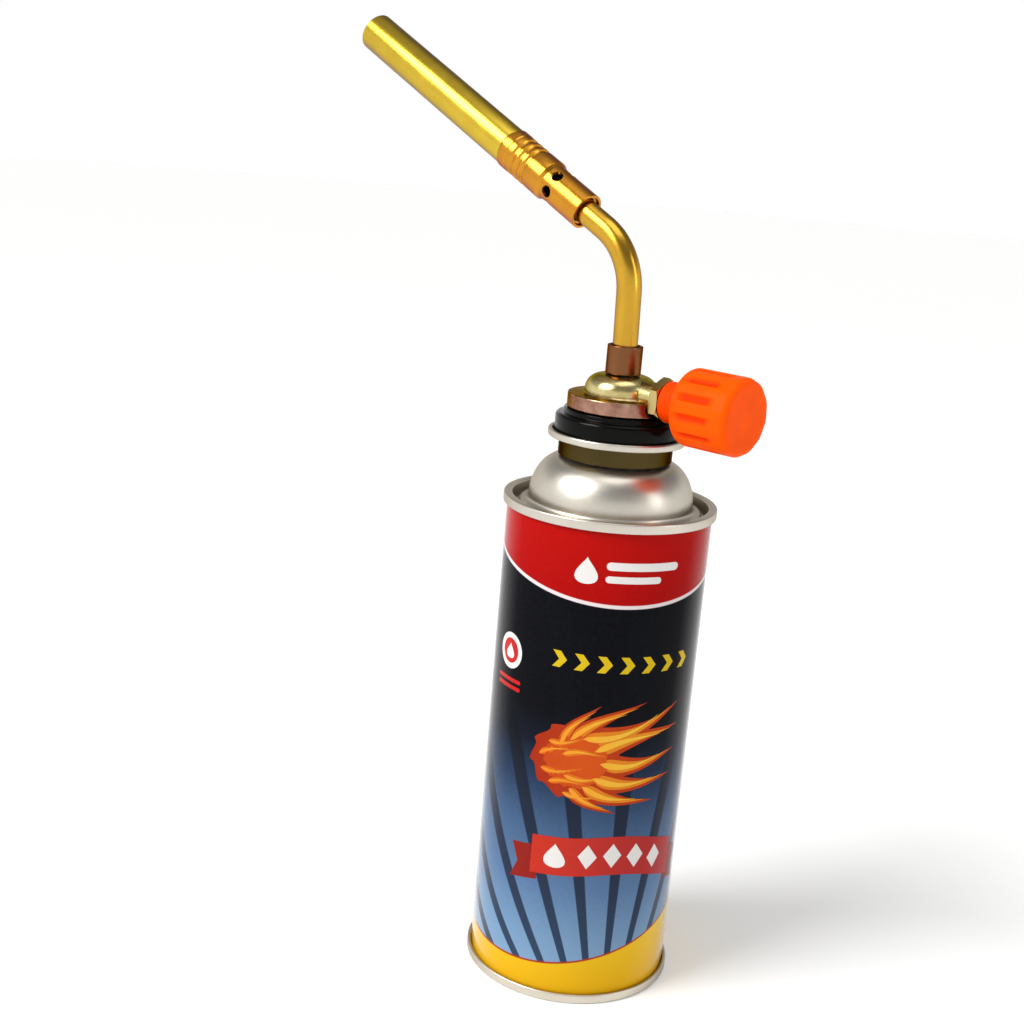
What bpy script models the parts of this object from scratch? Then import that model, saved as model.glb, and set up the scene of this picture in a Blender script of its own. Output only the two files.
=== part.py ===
"""Hand torch that screws by bayonet onto a nozzle-type butane cartridge.

Units in the helpers are millimetres; MM turns them into metres.  The cartridge
stands on the floor with its axis on world Z.  The burner points up and to the
back left, and the gas knob points the opposite way, to the front right.
"""
import math

import bmesh
import bpy
from mathutils import Matrix, Vector

MM = 0.001
GAP = 0.3              # clearance between neighbouring pieces
SHEET = 0.6            # sheet thickness used for the tinplate pieces

# Sides of the turned pieces
BIG = 32
MEDIUM = 20
SMALL = 12

# Cartridge
CAN_R = 33.15
SEAM_R = 34.45
SEAM_H = 3.1
SEAM_TOP = 162.3
BASE_RISE = 9.0        # height of the concave base at its centre
DOME_R = 26.5
DOME_FOOT = 161.8
DOME_TOP = 175.3
NECK_R = 16.9
NECK_TOP = 177.6

# Collar on top of the cartridge
COLLAR_R = 22.0
COLLAR_TOP = 184.0
PLATE_LOW = 181.7
PLATE_HIGH = 182.5
COLLAR_HOLE_R = 15.5
SLOT_R = 17.55
SLOT_HALF = 17.5       # half the angle of one bayonet slot, in degrees
SKIRT_R = 18.3

# Cartridge valve
PEDESTAL_R = 6.6
PEDESTAL_TOP = 179.4
STEM_R = 1.9
STEM_TOP = 183.9
STEM_SHOULDER = 177.4
HOUSING_R = 5.5
HOUSING_LOW = 161.5
SPRING_TURNS = 6

# Bayonet coupling of the torch head
LUG_R = 17.2
LUG_HALF = 14.5
LUG_COUNT = 3
PLATE_DISC_R = 15.1
LUG_LOW = 180.1
LUG_HIGH = 181.1
COUPLING_R = 20.15
COUPLING_LOW = 182.8
COUPLING_STEP_R = 17.6
COUPLING_TOP = 191.0
SCREW_CIRCLE = 11.3

# Valve body
HEAD_AZIMUTH = 142.5   # direction of the burner, seen from above
DISC_R = 16.8
DISC_LOW = 191.3
DISC_TOP = 195.9
PUCK_R = 11.6
PUCK_TOP = 202.4
PUCK_ROUND = 5.0
KNOB_AXIS_Z = 197.0
BOSS_R = 5.0
BOSS_END = 15.3
NUT_R = 7.3            # gland nut, across its corners
NUT_START = 15.6
NUT_END = 18.8
NUT_RELIEF_R = 7.7     # clearance cut round the nut, in the body's disc and the coupling

# Neck, mixer and burner
FERRULE_R = 5.65
FERRULE_TOP = 211.8
TUBE_R = 4.0
TUBE_BORE = 2.6
BEND_R = 22.0
NECK_LEAN = 2.0        # degrees that the neck leans toward the burner
NECK_PIVOT = 207.6     # height where the leaning neck crosses the cartridge axis
BURNER_Z = 240.4       # where the burner axis crosses the cartridge axis
BURNER_RISE = 27.2     # degrees above level
SLEEVE_START = 23.2
SLEEVE_R = 6.0
SLEEVE_BIG_R = 6.8
SLEEVE_STEP = 40.8
SLEEVE_END = 61.0
GROOVE_FIRST = 48.7
GROOVE_PITCH = 2.9
GROOVES = 3
AIR_HOLES = 6
AIR_HOLE_R = 1.95
AIR_HOLE_AT = 36.9
BURNER_R = 6.5
BURNER_BORE = 5.95
BURNER_START = 61.3
BURNER_END = 138.0
JET_START = 28.8

# Gas knob and spindle, measured along the knob axis from the cartridge axis
HUB_START = 19.1
HUB_R = 6.5
KNOB_R = 12.15
KNOB_FACE = 47.8
GRIPS = 12
SPINDLE_R = 2.0
SPINDLE_END = 41.4

BRASS = ("polished_brass", (0.86, 0.62, 0.22), 0.18, 1.0)
AMBER = ("amber_brass", (0.80, 0.45, 0.12), 0.20, 1.0)
PALE = ("pale_brass", (0.78, 0.66, 0.42), 0.22, 1.0)
COPPER = ("brown_brass", (0.50, 0.28, 0.17), 0.30, 1.0)
TIN = ("tinplate", (0.74, 0.70, 0.63), 0.32, 1.0)
LITHO = ("printed_tin", (0.10, 0.16, 0.30), 0.35, 0.0)
BLACK = ("black_plastic", (0.015, 0.014, 0.013), 0.15, 0.0)
ORANGE = ("orange_plastic", (0.95, 0.20, 0.02), 0.35, 0.0)
RUBBER = ("black_rubber", (0.03, 0.03, 0.03), 0.75, 0.0)
STEEL = ("zinc_steel", (0.62, 0.63, 0.64), 0.30, 1.0)
WHITE = ("white_plastic", (0.85, 0.84, 0.80), 0.45, 0.0)


def material(spec):
    name, colour, roughness, metallic = spec
    found = bpy.data.materials.get(name)
    if found:
        return found
    made = bpy.data.materials.new(name)
    made.use_nodes = True
    shader = made.node_tree.nodes["Principled BSDF"]
    shader.inputs["Base Color"].default_value = (*colour, 1.0)
    shader.inputs["Roughness"].default_value = roughness
    shader.inputs["Metallic"].default_value = metallic
    return made


def arc(centre, radii, start, end, steps):
    """Points on an ellipse in the (radius, height) plane, angles in degrees."""
    points = []
    for i in range(steps + 1):
        a = math.radians(start + (end - start) * i / steps)
        points.append((centre[0] + radii[0] * math.cos(a), centre[1] + radii[1] * math.sin(a)))
    return points


def empty(name, height, azimuth, rise, parent, out=0.0):
    """An axis marker whose local Z is the axis direction, moved out along its azimuth."""
    marker = bpy.data.objects.new(name, None)
    bpy.context.collection.objects.link(marker)
    turn = Matrix.Rotation(math.radians(azimuth), 4, "Z")
    tilt = Matrix.Rotation(math.radians(90.0 - rise), 4, "Y")
    marker.parent = parent
    shift = Matrix.Translation((out * MM, 0.0, height * MM))
    marker.matrix_world = turn @ shift @ tilt
    return marker


def finish(name, bm, spec, parent=None, smooth=True):
    bmesh.ops.recalc_face_normals(bm, faces=bm.faces)
    mesh = bpy.data.meshes.new(name)
    bm.to_mesh(mesh)
    bm.free()
    if smooth:
        mesh.shade_smooth()
        mesh.set_sharp_from_angle(angle=math.radians(32.0))
    item = bpy.data.objects.new(name, mesh)
    bpy.context.collection.objects.link(item)
    item.parent = parent
    if spec:
        mesh.materials.append(material(spec))
    return item


def turned(name, profile, segments, spec, parent=None, ring=True):
    """Spin a section about local Z.  A ring section is a closed loop."""
    bm = bmesh.new()
    verts = [bm.verts.new((r * MM, 0.0, z * MM)) for r, z in profile]
    count = len(verts)
    edges = []
    for i in range(count if ring else count - 1):
        edges.append(bm.edges.new((verts[i], verts[(i + 1) % count])))
    bmesh.ops.spin(bm, geom=verts + edges, cent=(0.0, 0.0, 0.0), axis=(0.0, 0.0, 1.0),
                   angle=math.tau, steps=segments, use_merge=True, use_duplicate=False)
    bmesh.ops.remove_doubles(bm, verts=bm.verts, dist=1e-7)
    return finish(name, bm, spec, parent)


def annulus(bm, outer, inner, segments):
    """A flat ring of faces in the local XY plane."""
    rows = []
    for radius in (outer, inner):
        row = []
        for i in range(segments):
            a = math.tau * i / segments
            row.append(bm.verts.new((radius * MM * math.cos(a), radius * MM * math.sin(a), 0.0)))
        rows.append(row)
    faces = []
    for i in range(segments):
        j = (i + 1) % segments
        faces.append(bm.faces.new((rows[0][i], rows[0][j], rows[1][j], rows[1][i])))
    return faces


def push(bm, faces, vector):
    """Extrude a set of faces and move the new ones."""
    result = bmesh.ops.extrude_face_region(bm, geom=faces)["geom"]
    verts = [g for g in result if isinstance(g, bmesh.types.BMVert)]
    bmesh.ops.translate(bm, vec=Vector(vector) * MM, verts=verts)
    return [g for g in result if isinstance(g, bmesh.types.BMFace)]


def bent_tube(name, outer, inner, first, radius, angle, last, segments, steps, spec, parent):
    """A tube that runs along local +Z, bends toward local -X and runs on straight."""
    bm = bmesh.new()
    faces = annulus(bm, outer, inner, segments)
    faces = push(bm, faces, (0.0, 0.0, first))
    geom = set(faces)
    for face in faces:
        geom.update(face.verts)
        geom.update(face.edges)
    turn = bmesh.ops.spin(bm, geom=list(geom), cent=(-radius * MM, 0.0, first * MM),
                          axis=(0.0, -1.0, 0.0), angle=math.radians(angle), steps=steps,
                          use_merge=False, use_duplicate=False)
    bmesh.ops.delete(bm, geom=[face for face in faces if face.is_valid], context="FACES_ONLY")
    faces = [g for g in turn["geom_last"] if isinstance(g, bmesh.types.BMFace)]
    a = math.radians(angle)
    push(bm, faces, (-last * math.sin(a), 0.0, last * math.cos(a)))
    bmesh.ops.delete(bm, geom=[face for face in faces if face.is_valid], context="FACES_ONLY")
    bmesh.ops.remove_doubles(bm, verts=bm.verts, dist=1e-7)
    return finish(name, bm, spec, parent)


def cylinders(name, places, radius, low, high, segments, parent=None, across=False):
    """One hidden tool made of equal cylinders along local Z, or along local X."""
    bm = bmesh.new()
    for x, y, spin in places:
        shift = Matrix.Translation((x * MM, y * MM, (low + high) / 2 * MM))
        if across:
            middle = (low + high) / 2
            shift = (Matrix.Translation((0.0, 0.0, x * MM)) @ Matrix.Rotation(spin, 4, "Z")
                     @ Matrix.Rotation(math.pi / 2, 4, "Y") @ Matrix.Translation((0, 0, middle * MM)))
        else:
            shift = shift @ Matrix.Rotation(spin, 4, "Z")
        bmesh.ops.create_cone(bm, cap_ends=True, segments=segments, radius1=radius * MM,
                              radius2=radius * MM, depth=(high - low) * MM, matrix=shift)
    return hide(finish(name, bm, None, parent, smooth=False))


def block(name, centre, size, parent=None, spin=0.0):
    """One hidden box tool."""
    bm = bmesh.new()
    place = Matrix.Translation(Vector(centre) * MM) @ Matrix.Rotation(math.radians(spin), 4, "Z")
    scale = Matrix.Diagonal((size[0] * MM, size[1] * MM, size[2] * MM, 1.0))
    bmesh.ops.create_cube(bm, size=1.0, matrix=place @ scale)
    return hide(finish(name, bm, None, parent, smooth=False))


def sectors(name, centres, half, r_low, r_high, z_low, z_high, steps=4):
    """One hidden tool made of wedge sectors about world Z."""
    bm = bmesh.new()
    for centre in centres:
        rows = []
        for z in (z_low, z_high):
            loop = []
            for i in range(steps + 1):
                a = math.radians(centre - half + 2 * half * i / steps)
                loop.append((r_high * math.cos(a), r_high * math.sin(a)))
            for i in range(steps, -1, -1):
                a = math.radians(centre - half + 2 * half * i / steps)
                loop.append((r_low * math.cos(a), r_low * math.sin(a)))
            rows.append([bm.verts.new((x * MM, y * MM, z * MM)) for x, y in loop])
        count = len(rows[0])
        bm.faces.new(rows[0][::-1])
        bm.faces.new(rows[1])
        for i in range(count):
            j = (i + 1) % count
            bm.faces.new((rows[0][i], rows[0][j], rows[1][j], rows[1][i]))
    return hide(finish(name, bm, None, None, smooth=False))


def hide(tool):
    tool.hide_render = True
    tool.display_type = "WIRE"
    return tool


def combine(target, tool, operation="DIFFERENCE"):
    step = target.modifiers.new(tool.name, "BOOLEAN")
    step.operation = operation
    step.solver = "EXACT"
    step.object = tool
    return step


def ring_places(count, circle, first):
    """Centres of equal holes on a circle about the axis, first one at the given angle."""
    places = []
    for i in range(count):
        a = math.radians(first + 360.0 * i / count)
        places.append((circle * math.cos(a), circle * math.sin(a), a))
    return places


# ---------------------------------------------------------------- cartridge

def build_cartridge(stem_axis):
    inside = CAN_R - SHEET
    chuck = inside - GAP
    hook = CAN_R + GAP
    floor = 0.8
    turned("can_body", [
        (CAN_R, floor + GAP), (CAN_R, SEAM_TOP - floor - GAP),
        (inside, SEAM_TOP - floor - GAP), (inside, floor + GAP),
    ], BIG, LITHO)

    wall = chuck - SHEET
    turned("can_bottom", (
        [(0.0, BASE_RISE)]
        + arc((0.0, 4.0), (wall, BASE_RISE - 4.0), 75.0, 0.0, 4)
        + [(wall, 0.35), (wall + 0.35, 0.0), (SEAM_R - 0.4, 0.0), (SEAM_R, 0.5)]
        + [(SEAM_R, SEAM_H - 0.5), (SEAM_R - 0.35, SEAM_H), (hook, SEAM_H), (hook, floor)]
        + [(chuck, floor), (chuck, 4.6)]
        + arc((0.0, 4.6), (chuck, BASE_RISE - 4.0), 0.0, 75.0, 4)[1:]
        + [(0.0, BASE_RISE + 0.6)]
    ), BIG, TIN, ring=False)

    neck_in = NECK_R - SHEET
    low = SEAM_TOP - SEAM_H
    upper = (
        [(neck_in, NECK_TOP), (NECK_R, NECK_TOP), (NECK_R, DOME_TOP)]
        + arc((NECK_R, DOME_FOOT), (DOME_R - NECK_R, DOME_TOP - DOME_FOOT), 76.0, 0.0, 5)
        + arc((DOME_R + 1.6, DOME_FOOT), (1.6, 1.5), 180.0, 270.0, 2)[1:]
        + arc((28.6, 159.3), (0.9, 1.0), 90.0, 0.0, 2)
        + [(29.7, 157.6), (30.4, 157.0), (31.2, 157.1), (wall, 157.7)]
        + [(wall, SEAM_TOP - 0.4), (wall + 0.4, SEAM_TOP), (SEAM_R - 0.5, SEAM_TOP)]
        + [(SEAM_R, SEAM_TOP - 0.6), (SEAM_R, low + 0.4), (SEAM_R - 0.35, low), (hook, low)]
    )
    under = (
        [(hook, SEAM_TOP - floor), (chuck, SEAM_TOP - floor), (chuck, 157.2)]
        + [(31.3, 156.4), (30.2, 156.4), (29.1, 157.3), (28.8, 159.3), (28.0, 159.7)]
        + arc((DOME_R + 1.6, DOME_FOOT), (2.2, 2.1), 262.0, 180.0, 2)
        + arc((NECK_R, DOME_FOOT), (DOME_R - NECK_R - 0.6, DOME_TOP - DOME_FOOT - 0.6),
              14.0, 84.0, 4)
        + [(neck_in, DOME_TOP - 0.7)]
    )
    turned("can_top_dome", upper + under, BIG, TIN)

    # The collar is a turned plate with a raised rim and a skirt below it.
    collar = turned("bayonet_collar", [
        (COLLAR_HOLE_R, PLATE_LOW), (SLOT_R + 0.05, PLATE_LOW), (SLOT_R + 0.05, 175.9),
        (SKIRT_R, 175.9), (SKIRT_R, PLATE_LOW), (COLLAR_R - 0.7, PLATE_LOW),
        (COLLAR_R - 0.15, PLATE_LOW + 0.35), (COLLAR_R, PLATE_LOW + 0.9),
        (COLLAR_R, COLLAR_TOP - 0.6), (COLLAR_R - 0.25, COLLAR_TOP - 0.15),
        (COLLAR_R - 0.7, COLLAR_TOP), (COLLAR_R - 1.15, COLLAR_TOP - 0.2),
        (COLLAR_R - 1.4, COLLAR_TOP - 0.7), (COLLAR_R - 1.4, PLATE_HIGH),
        (COLLAR_HOLE_R, PLATE_HIGH),
    ], BIG, TIN)
    slots = [HEAD_AZIMUTH + 60.0 + 120.0 * i for i in range(LUG_COUNT)]
    combine(collar, sectors("slot_tool", slots, SLOT_HALF, 14.5, SLOT_R, 181.0, 183.2))
    notch = block("notch_tool", (0.0, COLLAR_R, 183.0), (5.0, 4.4, 6.0))
    notch.matrix_world = Matrix.Rotation(math.radians(-14.0), 4, "Z") @ notch.matrix_world
    combine(collar, notch)

    lip = NECK_TOP + 1.8
    turned("valve_cup", [
        (17.0, lip - SHEET), (17.0, lip), (15.6, lip), (14.9, lip - 0.7), (14.9, 173.2),
        (13.9, 172.2), (7.5, 172.2), (PEDESTAL_R, 173.0), (PEDESTAL_R, PEDESTAL_TOP - 0.8),
        (PEDESTAL_R - 0.8, PEDESTAL_TOP), (2.4, PEDESTAL_TOP), (2.4, PEDESTAL_TOP - 0.7),
        (5.5, PEDESTAL_TOP - 0.7), (5.9, PEDESTAL_TOP - 1.1), (5.9, 172.4), (7.0, 171.5),
        (14.2, 171.5), (15.5, 172.9), (15.5, lip - SHEET),
    ], MEDIUM, TIN)
    turned("cup_gasket", [
        (15.9, NECK_TOP + GAP), (16.9, NECK_TOP + GAP), (16.9, NECK_TOP + 0.9),
        (15.9, NECK_TOP + 0.9),
    ], MEDIUM, RUBBER)

    turned("valve_housing", [
        (1.0, 156.5), (1.9, 156.5), (1.9, HOUSING_LOW), (HOUSING_R - 0.8, HOUSING_LOW),
        (HOUSING_R, HOUSING_LOW + 0.8), (HOUSING_R, STEM_SHOULDER), (3.5, STEM_SHOULDER),
        (3.5, HOUSING_LOW + 2.5), (1.0, HOUSING_LOW + 2.5),
    ], SMALL, WHITE)
    turned("stem_gasket", [
        (2.2, STEM_SHOULDER + GAP), (5.3, STEM_SHOULDER + GAP), (5.3, PEDESTAL_TOP - 1.0),
        (2.2, PEDESTAL_TOP - 1.0),
    ], SMALL, RUBBER)
    stem = turned("cartridge_valve_stem", [
        (0.0, 172.0), (1.5, 172.0), (1.6, 175.6), (3.1, 175.6), (3.1, STEM_SHOULDER - 0.1),
        (STEM_R, STEM_SHOULDER - 0.1), (STEM_R, STEM_TOP - 0.4), (STEM_R - 0.4, STEM_TOP),
        (0.9, STEM_TOP), (0.9, 178.0), (0.0, 177.6),
    ], SMALL, WHITE, stem_axis, ring=False)
    port = cylinders("port_tool", [(178.6, 0.0, 0.0)], 0.4, -3.0, 3.0, 8, stem_axis, True)
    combine(stem, port)

    # Coil spring between the housing floor and the stem shoulder.
    curve = bpy.data.curves.new("cartridge_valve_spring", "CURVE")
    curve.dimensions = "3D"
    curve.bevel_depth = 0.26 * MM
    curve.bevel_resolution = 0
    curve.use_fill_caps = True
    spline = curve.splines.new("POLY")
    per_turn = 10
    total = SPRING_TURNS * per_turn
    low, high = HOUSING_LOW + 3.1, 175.0
    spline.points.add(total)
    for i in range(total + 1):
        a = math.tau * i / per_turn
        z = low + (high - low) * i / total
        spline.points[i].co = (2.5 * MM * math.cos(a), 2.5 * MM * math.sin(a), z * MM, 1.0)
    coil = bpy.data.objects.new("cartridge_valve_spring", curve)
    bpy.context.collection.objects.link(coil)
    curve.materials.append(material(STEEL))

    mouth = empty("vapour_tube_axis", HOUSING_LOW - GAP, 90.0, -90.0, None)
    bent_tube("vapour_tube", 2.9, 2.2, 6.0, 8.0, 100.0, 9.0, 12, 6, WHITE, mouth)


# --------------------------------------------------------------- torch head

def build_coupling(head, carrier, relief):
    bm = bmesh.new()
    angles = []
    for i in range(LUG_COUNT):
        centre = HEAD_AZIMUTH + 60.0 + 120.0 * i
        for k in range(5):
            angles.append((centre - LUG_HALF + 2 * LUG_HALF * k / 4, LUG_R))
        gap = 120.0 - 2 * LUG_HALF
        for k in range(10):
            inset = 0.8 + (gap - 1.6) * k / 9
            angles.append((centre + LUG_HALF + inset, PLATE_DISC_R))
    rows = []
    for z in (LUG_LOW, LUG_HIGH):
        for inner in (False, True):
            row = []
            for degrees, radius in angles:
                a = math.radians(degrees)
                r = 8.2 if inner else radius
                row.append(bm.verts.new((r * MM * math.cos(a), r * MM * math.sin(a), z * MM)))
            rows.append(row)
    count = len(angles)
    for i in range(count):
        j = (i + 1) % count
        bm.faces.new((rows[0][i], rows[0][j], rows[2][j], rows[2][i]))
        bm.faces.new((rows[1][i], rows[3][i], rows[3][j], rows[1][j]))
        bm.faces.new((rows[2][i], rows[2][j], rows[3][j], rows[3][i]))
        bm.faces.new((rows[0][i], rows[1][i], rows[1][j], rows[0][j]))
    plate = finish("bayonet_plate", bm, STEEL, head, smooth=False)

    ring = turned("coupling_ring", (
        [(7.9, LUG_HIGH + GAP), (PLATE_DISC_R - 0.1, LUG_HIGH + GAP)]
        + [(PLATE_DISC_R - 0.1, COUPLING_LOW), (COUPLING_R - 0.4, COUPLING_LOW)]
        + [(COUPLING_R, COUPLING_LOW + 0.4), (COUPLING_R, 188.0)]
        + arc((COUPLING_R - 1.4, 188.0), (1.4, 1.4), 30.0, 90.0, 2)
        + [(COUPLING_STEP_R + 0.2, 189.5), (COUPLING_STEP_R, 189.8)]
        + [(COUPLING_STEP_R, COUPLING_TOP - 0.3), (COUPLING_STEP_R - 0.3, COUPLING_TOP)]
        + [(7.9, COUPLING_TOP), (7.9, 189.2), (4.9, 189.2), (4.9, 182.6), (7.9, 182.6)]
    ), BIG, BLACK, head)

    places = ring_places(3, SCREW_CIRCLE, HEAD_AZIMUTH)
    holes = cylinders("screw_hole_tool", places, 1.75, 179.6, 194.8, 12)
    combine(plate, holes)
    combine(ring, holes)
    combine(ring, relief)
    sockets = cylinders("socket_tool", places, 1.3, 177.0, 179.2, 6)
    for i, (x, y, _) in enumerate(places):
        screw = turned("coupling_screw_%d" % (i + 1), [
            (0.0, 178.2), (2.2, 178.2), (2.6, 178.6), (2.6, LUG_LOW - GAP),
            (1.45, LUG_LOW - GAP), (1.45, 194.0), (1.1, 194.4), (0.0, 194.4),
        ], 12, STEEL, head, ring=False)
        screw.location = (x * MM, y * MM, 0.0)
        combine(screw, sockets)

    turned("coupling_seal", [
        (4.9, 179.9), (5.3, PEDESTAL_TOP + GAP), (7.0, PEDESTAL_TOP + GAP), (7.5, 180.0),
        (7.5, 182.3), (4.9, 182.3),
    ], MEDIUM, RUBBER, carrier)
    turned("inlet_nozzle", [
        (2.3, 180.4), (4.2, 180.4), (4.6, 180.8), (4.6, 189.5), (7.6, 189.5), (7.6, 191.0),
        (2.1, 191.0), (2.1, 187.6), (0.8, 187.6), (0.8, 184.6), (2.3, 184.3),
    ], MEDIUM, BRASS, head)
    turned("inlet_filter", [
        (0.0, 187.9), (1.8, 187.9), (1.8, 189.6), (0.0, 189.6),
    ], 12, COPPER, head, ring=False)
    turned("inlet_o_ring", arc((6.3, 191.9), (0.65, 0.55), 0.0, 300.0, 5), MEDIUM, RUBBER, head)
    return holes


def build_valve_body(head, knob_axis, screw_holes, relief):
    body = turned("valve_body", (
        [(0.0, 192.8), (7.5, 192.8), (7.5, DISC_LOW), (DISC_R - 0.3, DISC_LOW)]
        + [(DISC_R, DISC_LOW + 0.3), (DISC_R, DISC_TOP - 0.6), (DISC_R - 0.6, DISC_TOP)]
        + [(PUCK_R + 0.4, DISC_TOP + 0.1), (PUCK_R, DISC_TOP + 0.6)]
        + arc((PUCK_R - PUCK_ROUND, PUCK_TOP - PUCK_ROUND), (PUCK_ROUND, PUCK_ROUND),
              0.0, 90.0, 5)
        + [(0.0, PUCK_TOP)]
    ), BIG, PALE, head, ring=False)
    boss = cylinders("boss_tool", [(0.0, 0.0, 0.0)], BOSS_R, 8.5, BOSS_END, 24, knob_axis)
    combine(body, relief)
    combine(body, boss, "UNION")
    combine(body, cylinders("chamber_tool", [(0.0, 0.0, 0.0)], 3.0, 5.4, 22.0, SMALL, knob_axis))
    combine(body, cylinders("gland_tool", [(0.0, 0.0, 0.0)], 4.3, 11.6, 22.0, MEDIUM, knob_axis))
    combine(body, cylinders("seat_tool", [(0.0, 0.0, 0.0)], 0.9, 0.0, 6.0, 12, knob_axis))
    combine(body, cylinders("outlet_tool", [(0.0, 0.0, 0.0)], 1.5, KNOB_AXIS_Z - 1.4, 206.0, 16))
    side = math.radians(HEAD_AZIMUTH + 180.0)
    inlet = cylinders("inlet_tool", [(6.4 * math.cos(side), 6.4 * math.sin(side), 0.0)],
                      0.9, 192.0, 195.0, 12)
    combine(body, inlet)
    combine(body, screw_holes)
    turned("neck_ferrule", [
        (TUBE_R + 0.5, PUCK_TOP + GAP), (FERRULE_R, PUCK_TOP + GAP),
        (FERRULE_R, FERRULE_TOP - 0.5), (FERRULE_R - 0.5, FERRULE_TOP),
        (TUBE_R + 0.5, FERRULE_TOP),
    ], 28, COPPER, head)


def build_burner(head, burner_axis):
    # The leaning neck and the burner axis meet at a corner, which the bend rounds off.
    swing = 90.0 - BURNER_RISE - NECK_LEAN
    tangent = BEND_R * math.tan(math.radians(swing / 2))
    lean = math.tan(math.radians(NECK_LEAN))
    slope = math.tan(math.radians(BURNER_RISE))
    corner = lean * (BURNER_Z - NECK_PIVOT) / (1.0 - lean * slope)
    low = PUCK_TOP + GAP
    out = lean * (low - NECK_PIVOT)
    first = (corner - out) / math.sin(math.radians(NECK_LEAN)) - tangent
    last = JET_START - GAP - corner / math.cos(math.radians(BURNER_RISE)) - tangent
    foot = empty("neck_axis", low, HEAD_AZIMUTH + 180.0, 90.0 + NECK_LEAN, head, -out)
    bent_tube("neck_tube", TUBE_R, TUBE_BORE, first, BEND_R, swing, last, 16, 8, BRASS, foot)

    groove = []
    for i in range(GROOVES):
        centre = GROOVE_FIRST + GROOVE_PITCH * i
        groove += [(SLEEVE_BIG_R, centre - 0.9), (SLEEVE_BIG_R - 0.65, centre - 0.4),
                   (SLEEVE_BIG_R - 0.65, centre + 0.4), (SLEEVE_BIG_R, centre + 0.9)]
    sleeve = turned("mixer_sleeve", (
        [(5.1, SLEEVE_START), (SLEEVE_R - 0.3, SLEEVE_START), (SLEEVE_R, SLEEVE_START + 0.3)]
        + [(SLEEVE_R, SLEEVE_STEP - 0.6), (SLEEVE_BIG_R, SLEEVE_STEP + 0.6)]
        + groove
        + [(SLEEVE_BIG_R, 57.6), (SLEEVE_BIG_R + 0.1, 58.0)]
        + [(SLEEVE_BIG_R + 0.1, SLEEVE_END - 0.3), (SLEEVE_BIG_R - 0.2, SLEEVE_END)]
        + [(5.6, SLEEVE_END), (5.6, 68.0), (5.0, 68.0), (5.0, 30.0)]
        + [(TUBE_R + GAP, 29.3), (TUBE_R + GAP, SLEEVE_START + 1.6)]
        + [(5.1, SLEEVE_START + 1.4)]
    ), MEDIUM, AMBER, burner_axis)
    air = [(AIR_HOLE_AT, 0.0, math.radians(18.0 + 60.0 * i)) for i in range(AIR_HOLES)]
    combine(sleeve, cylinders("air_hole_tool", air, AIR_HOLE_R, 3.0, 9.0, 12, burner_axis, True))

    turned("gas_jet", [
        (1.3, JET_START - 4.0), (2.3, JET_START - 4.0), (2.3, JET_START), (3.9, JET_START),
        (3.9, JET_START + 3.0), (2.2, JET_START + 5.0), (0.4, JET_START + 5.0),
        (0.4, JET_START + 4.0), (1.3, JET_START + 3.2),
    ], 12, BRASS, burner_axis)

    turned("burner_tube", (
        [(BURNER_BORE, BURNER_START), (BURNER_R, BURNER_START), (BURNER_R, BURNER_END - 0.6)]
        + [(BURNER_R - 0.15, BURNER_END - 0.15), (BURNER_R - 0.3, BURNER_END)]
        + [(BURNER_BORE + 0.05, BURNER_END), (BURNER_BORE, BURNER_END - 0.2)]
    ), MEDIUM, BRASS, burner_axis)
    holder = turned("flame_holder", [
        (2.3, 116.0), (5.3, 116.0), (5.7, 116.4), (5.7, 121.6), (5.3, 122.0), (2.3, 122.0),
    ], 24, BRASS, burner_axis)
    ports = cylinders("flame_port_tool", ring_places(8, 4.0, 0.0), 0.8, 115.0, 123.0, 6,
                      burner_axis)
    combine(holder, ports)


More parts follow.
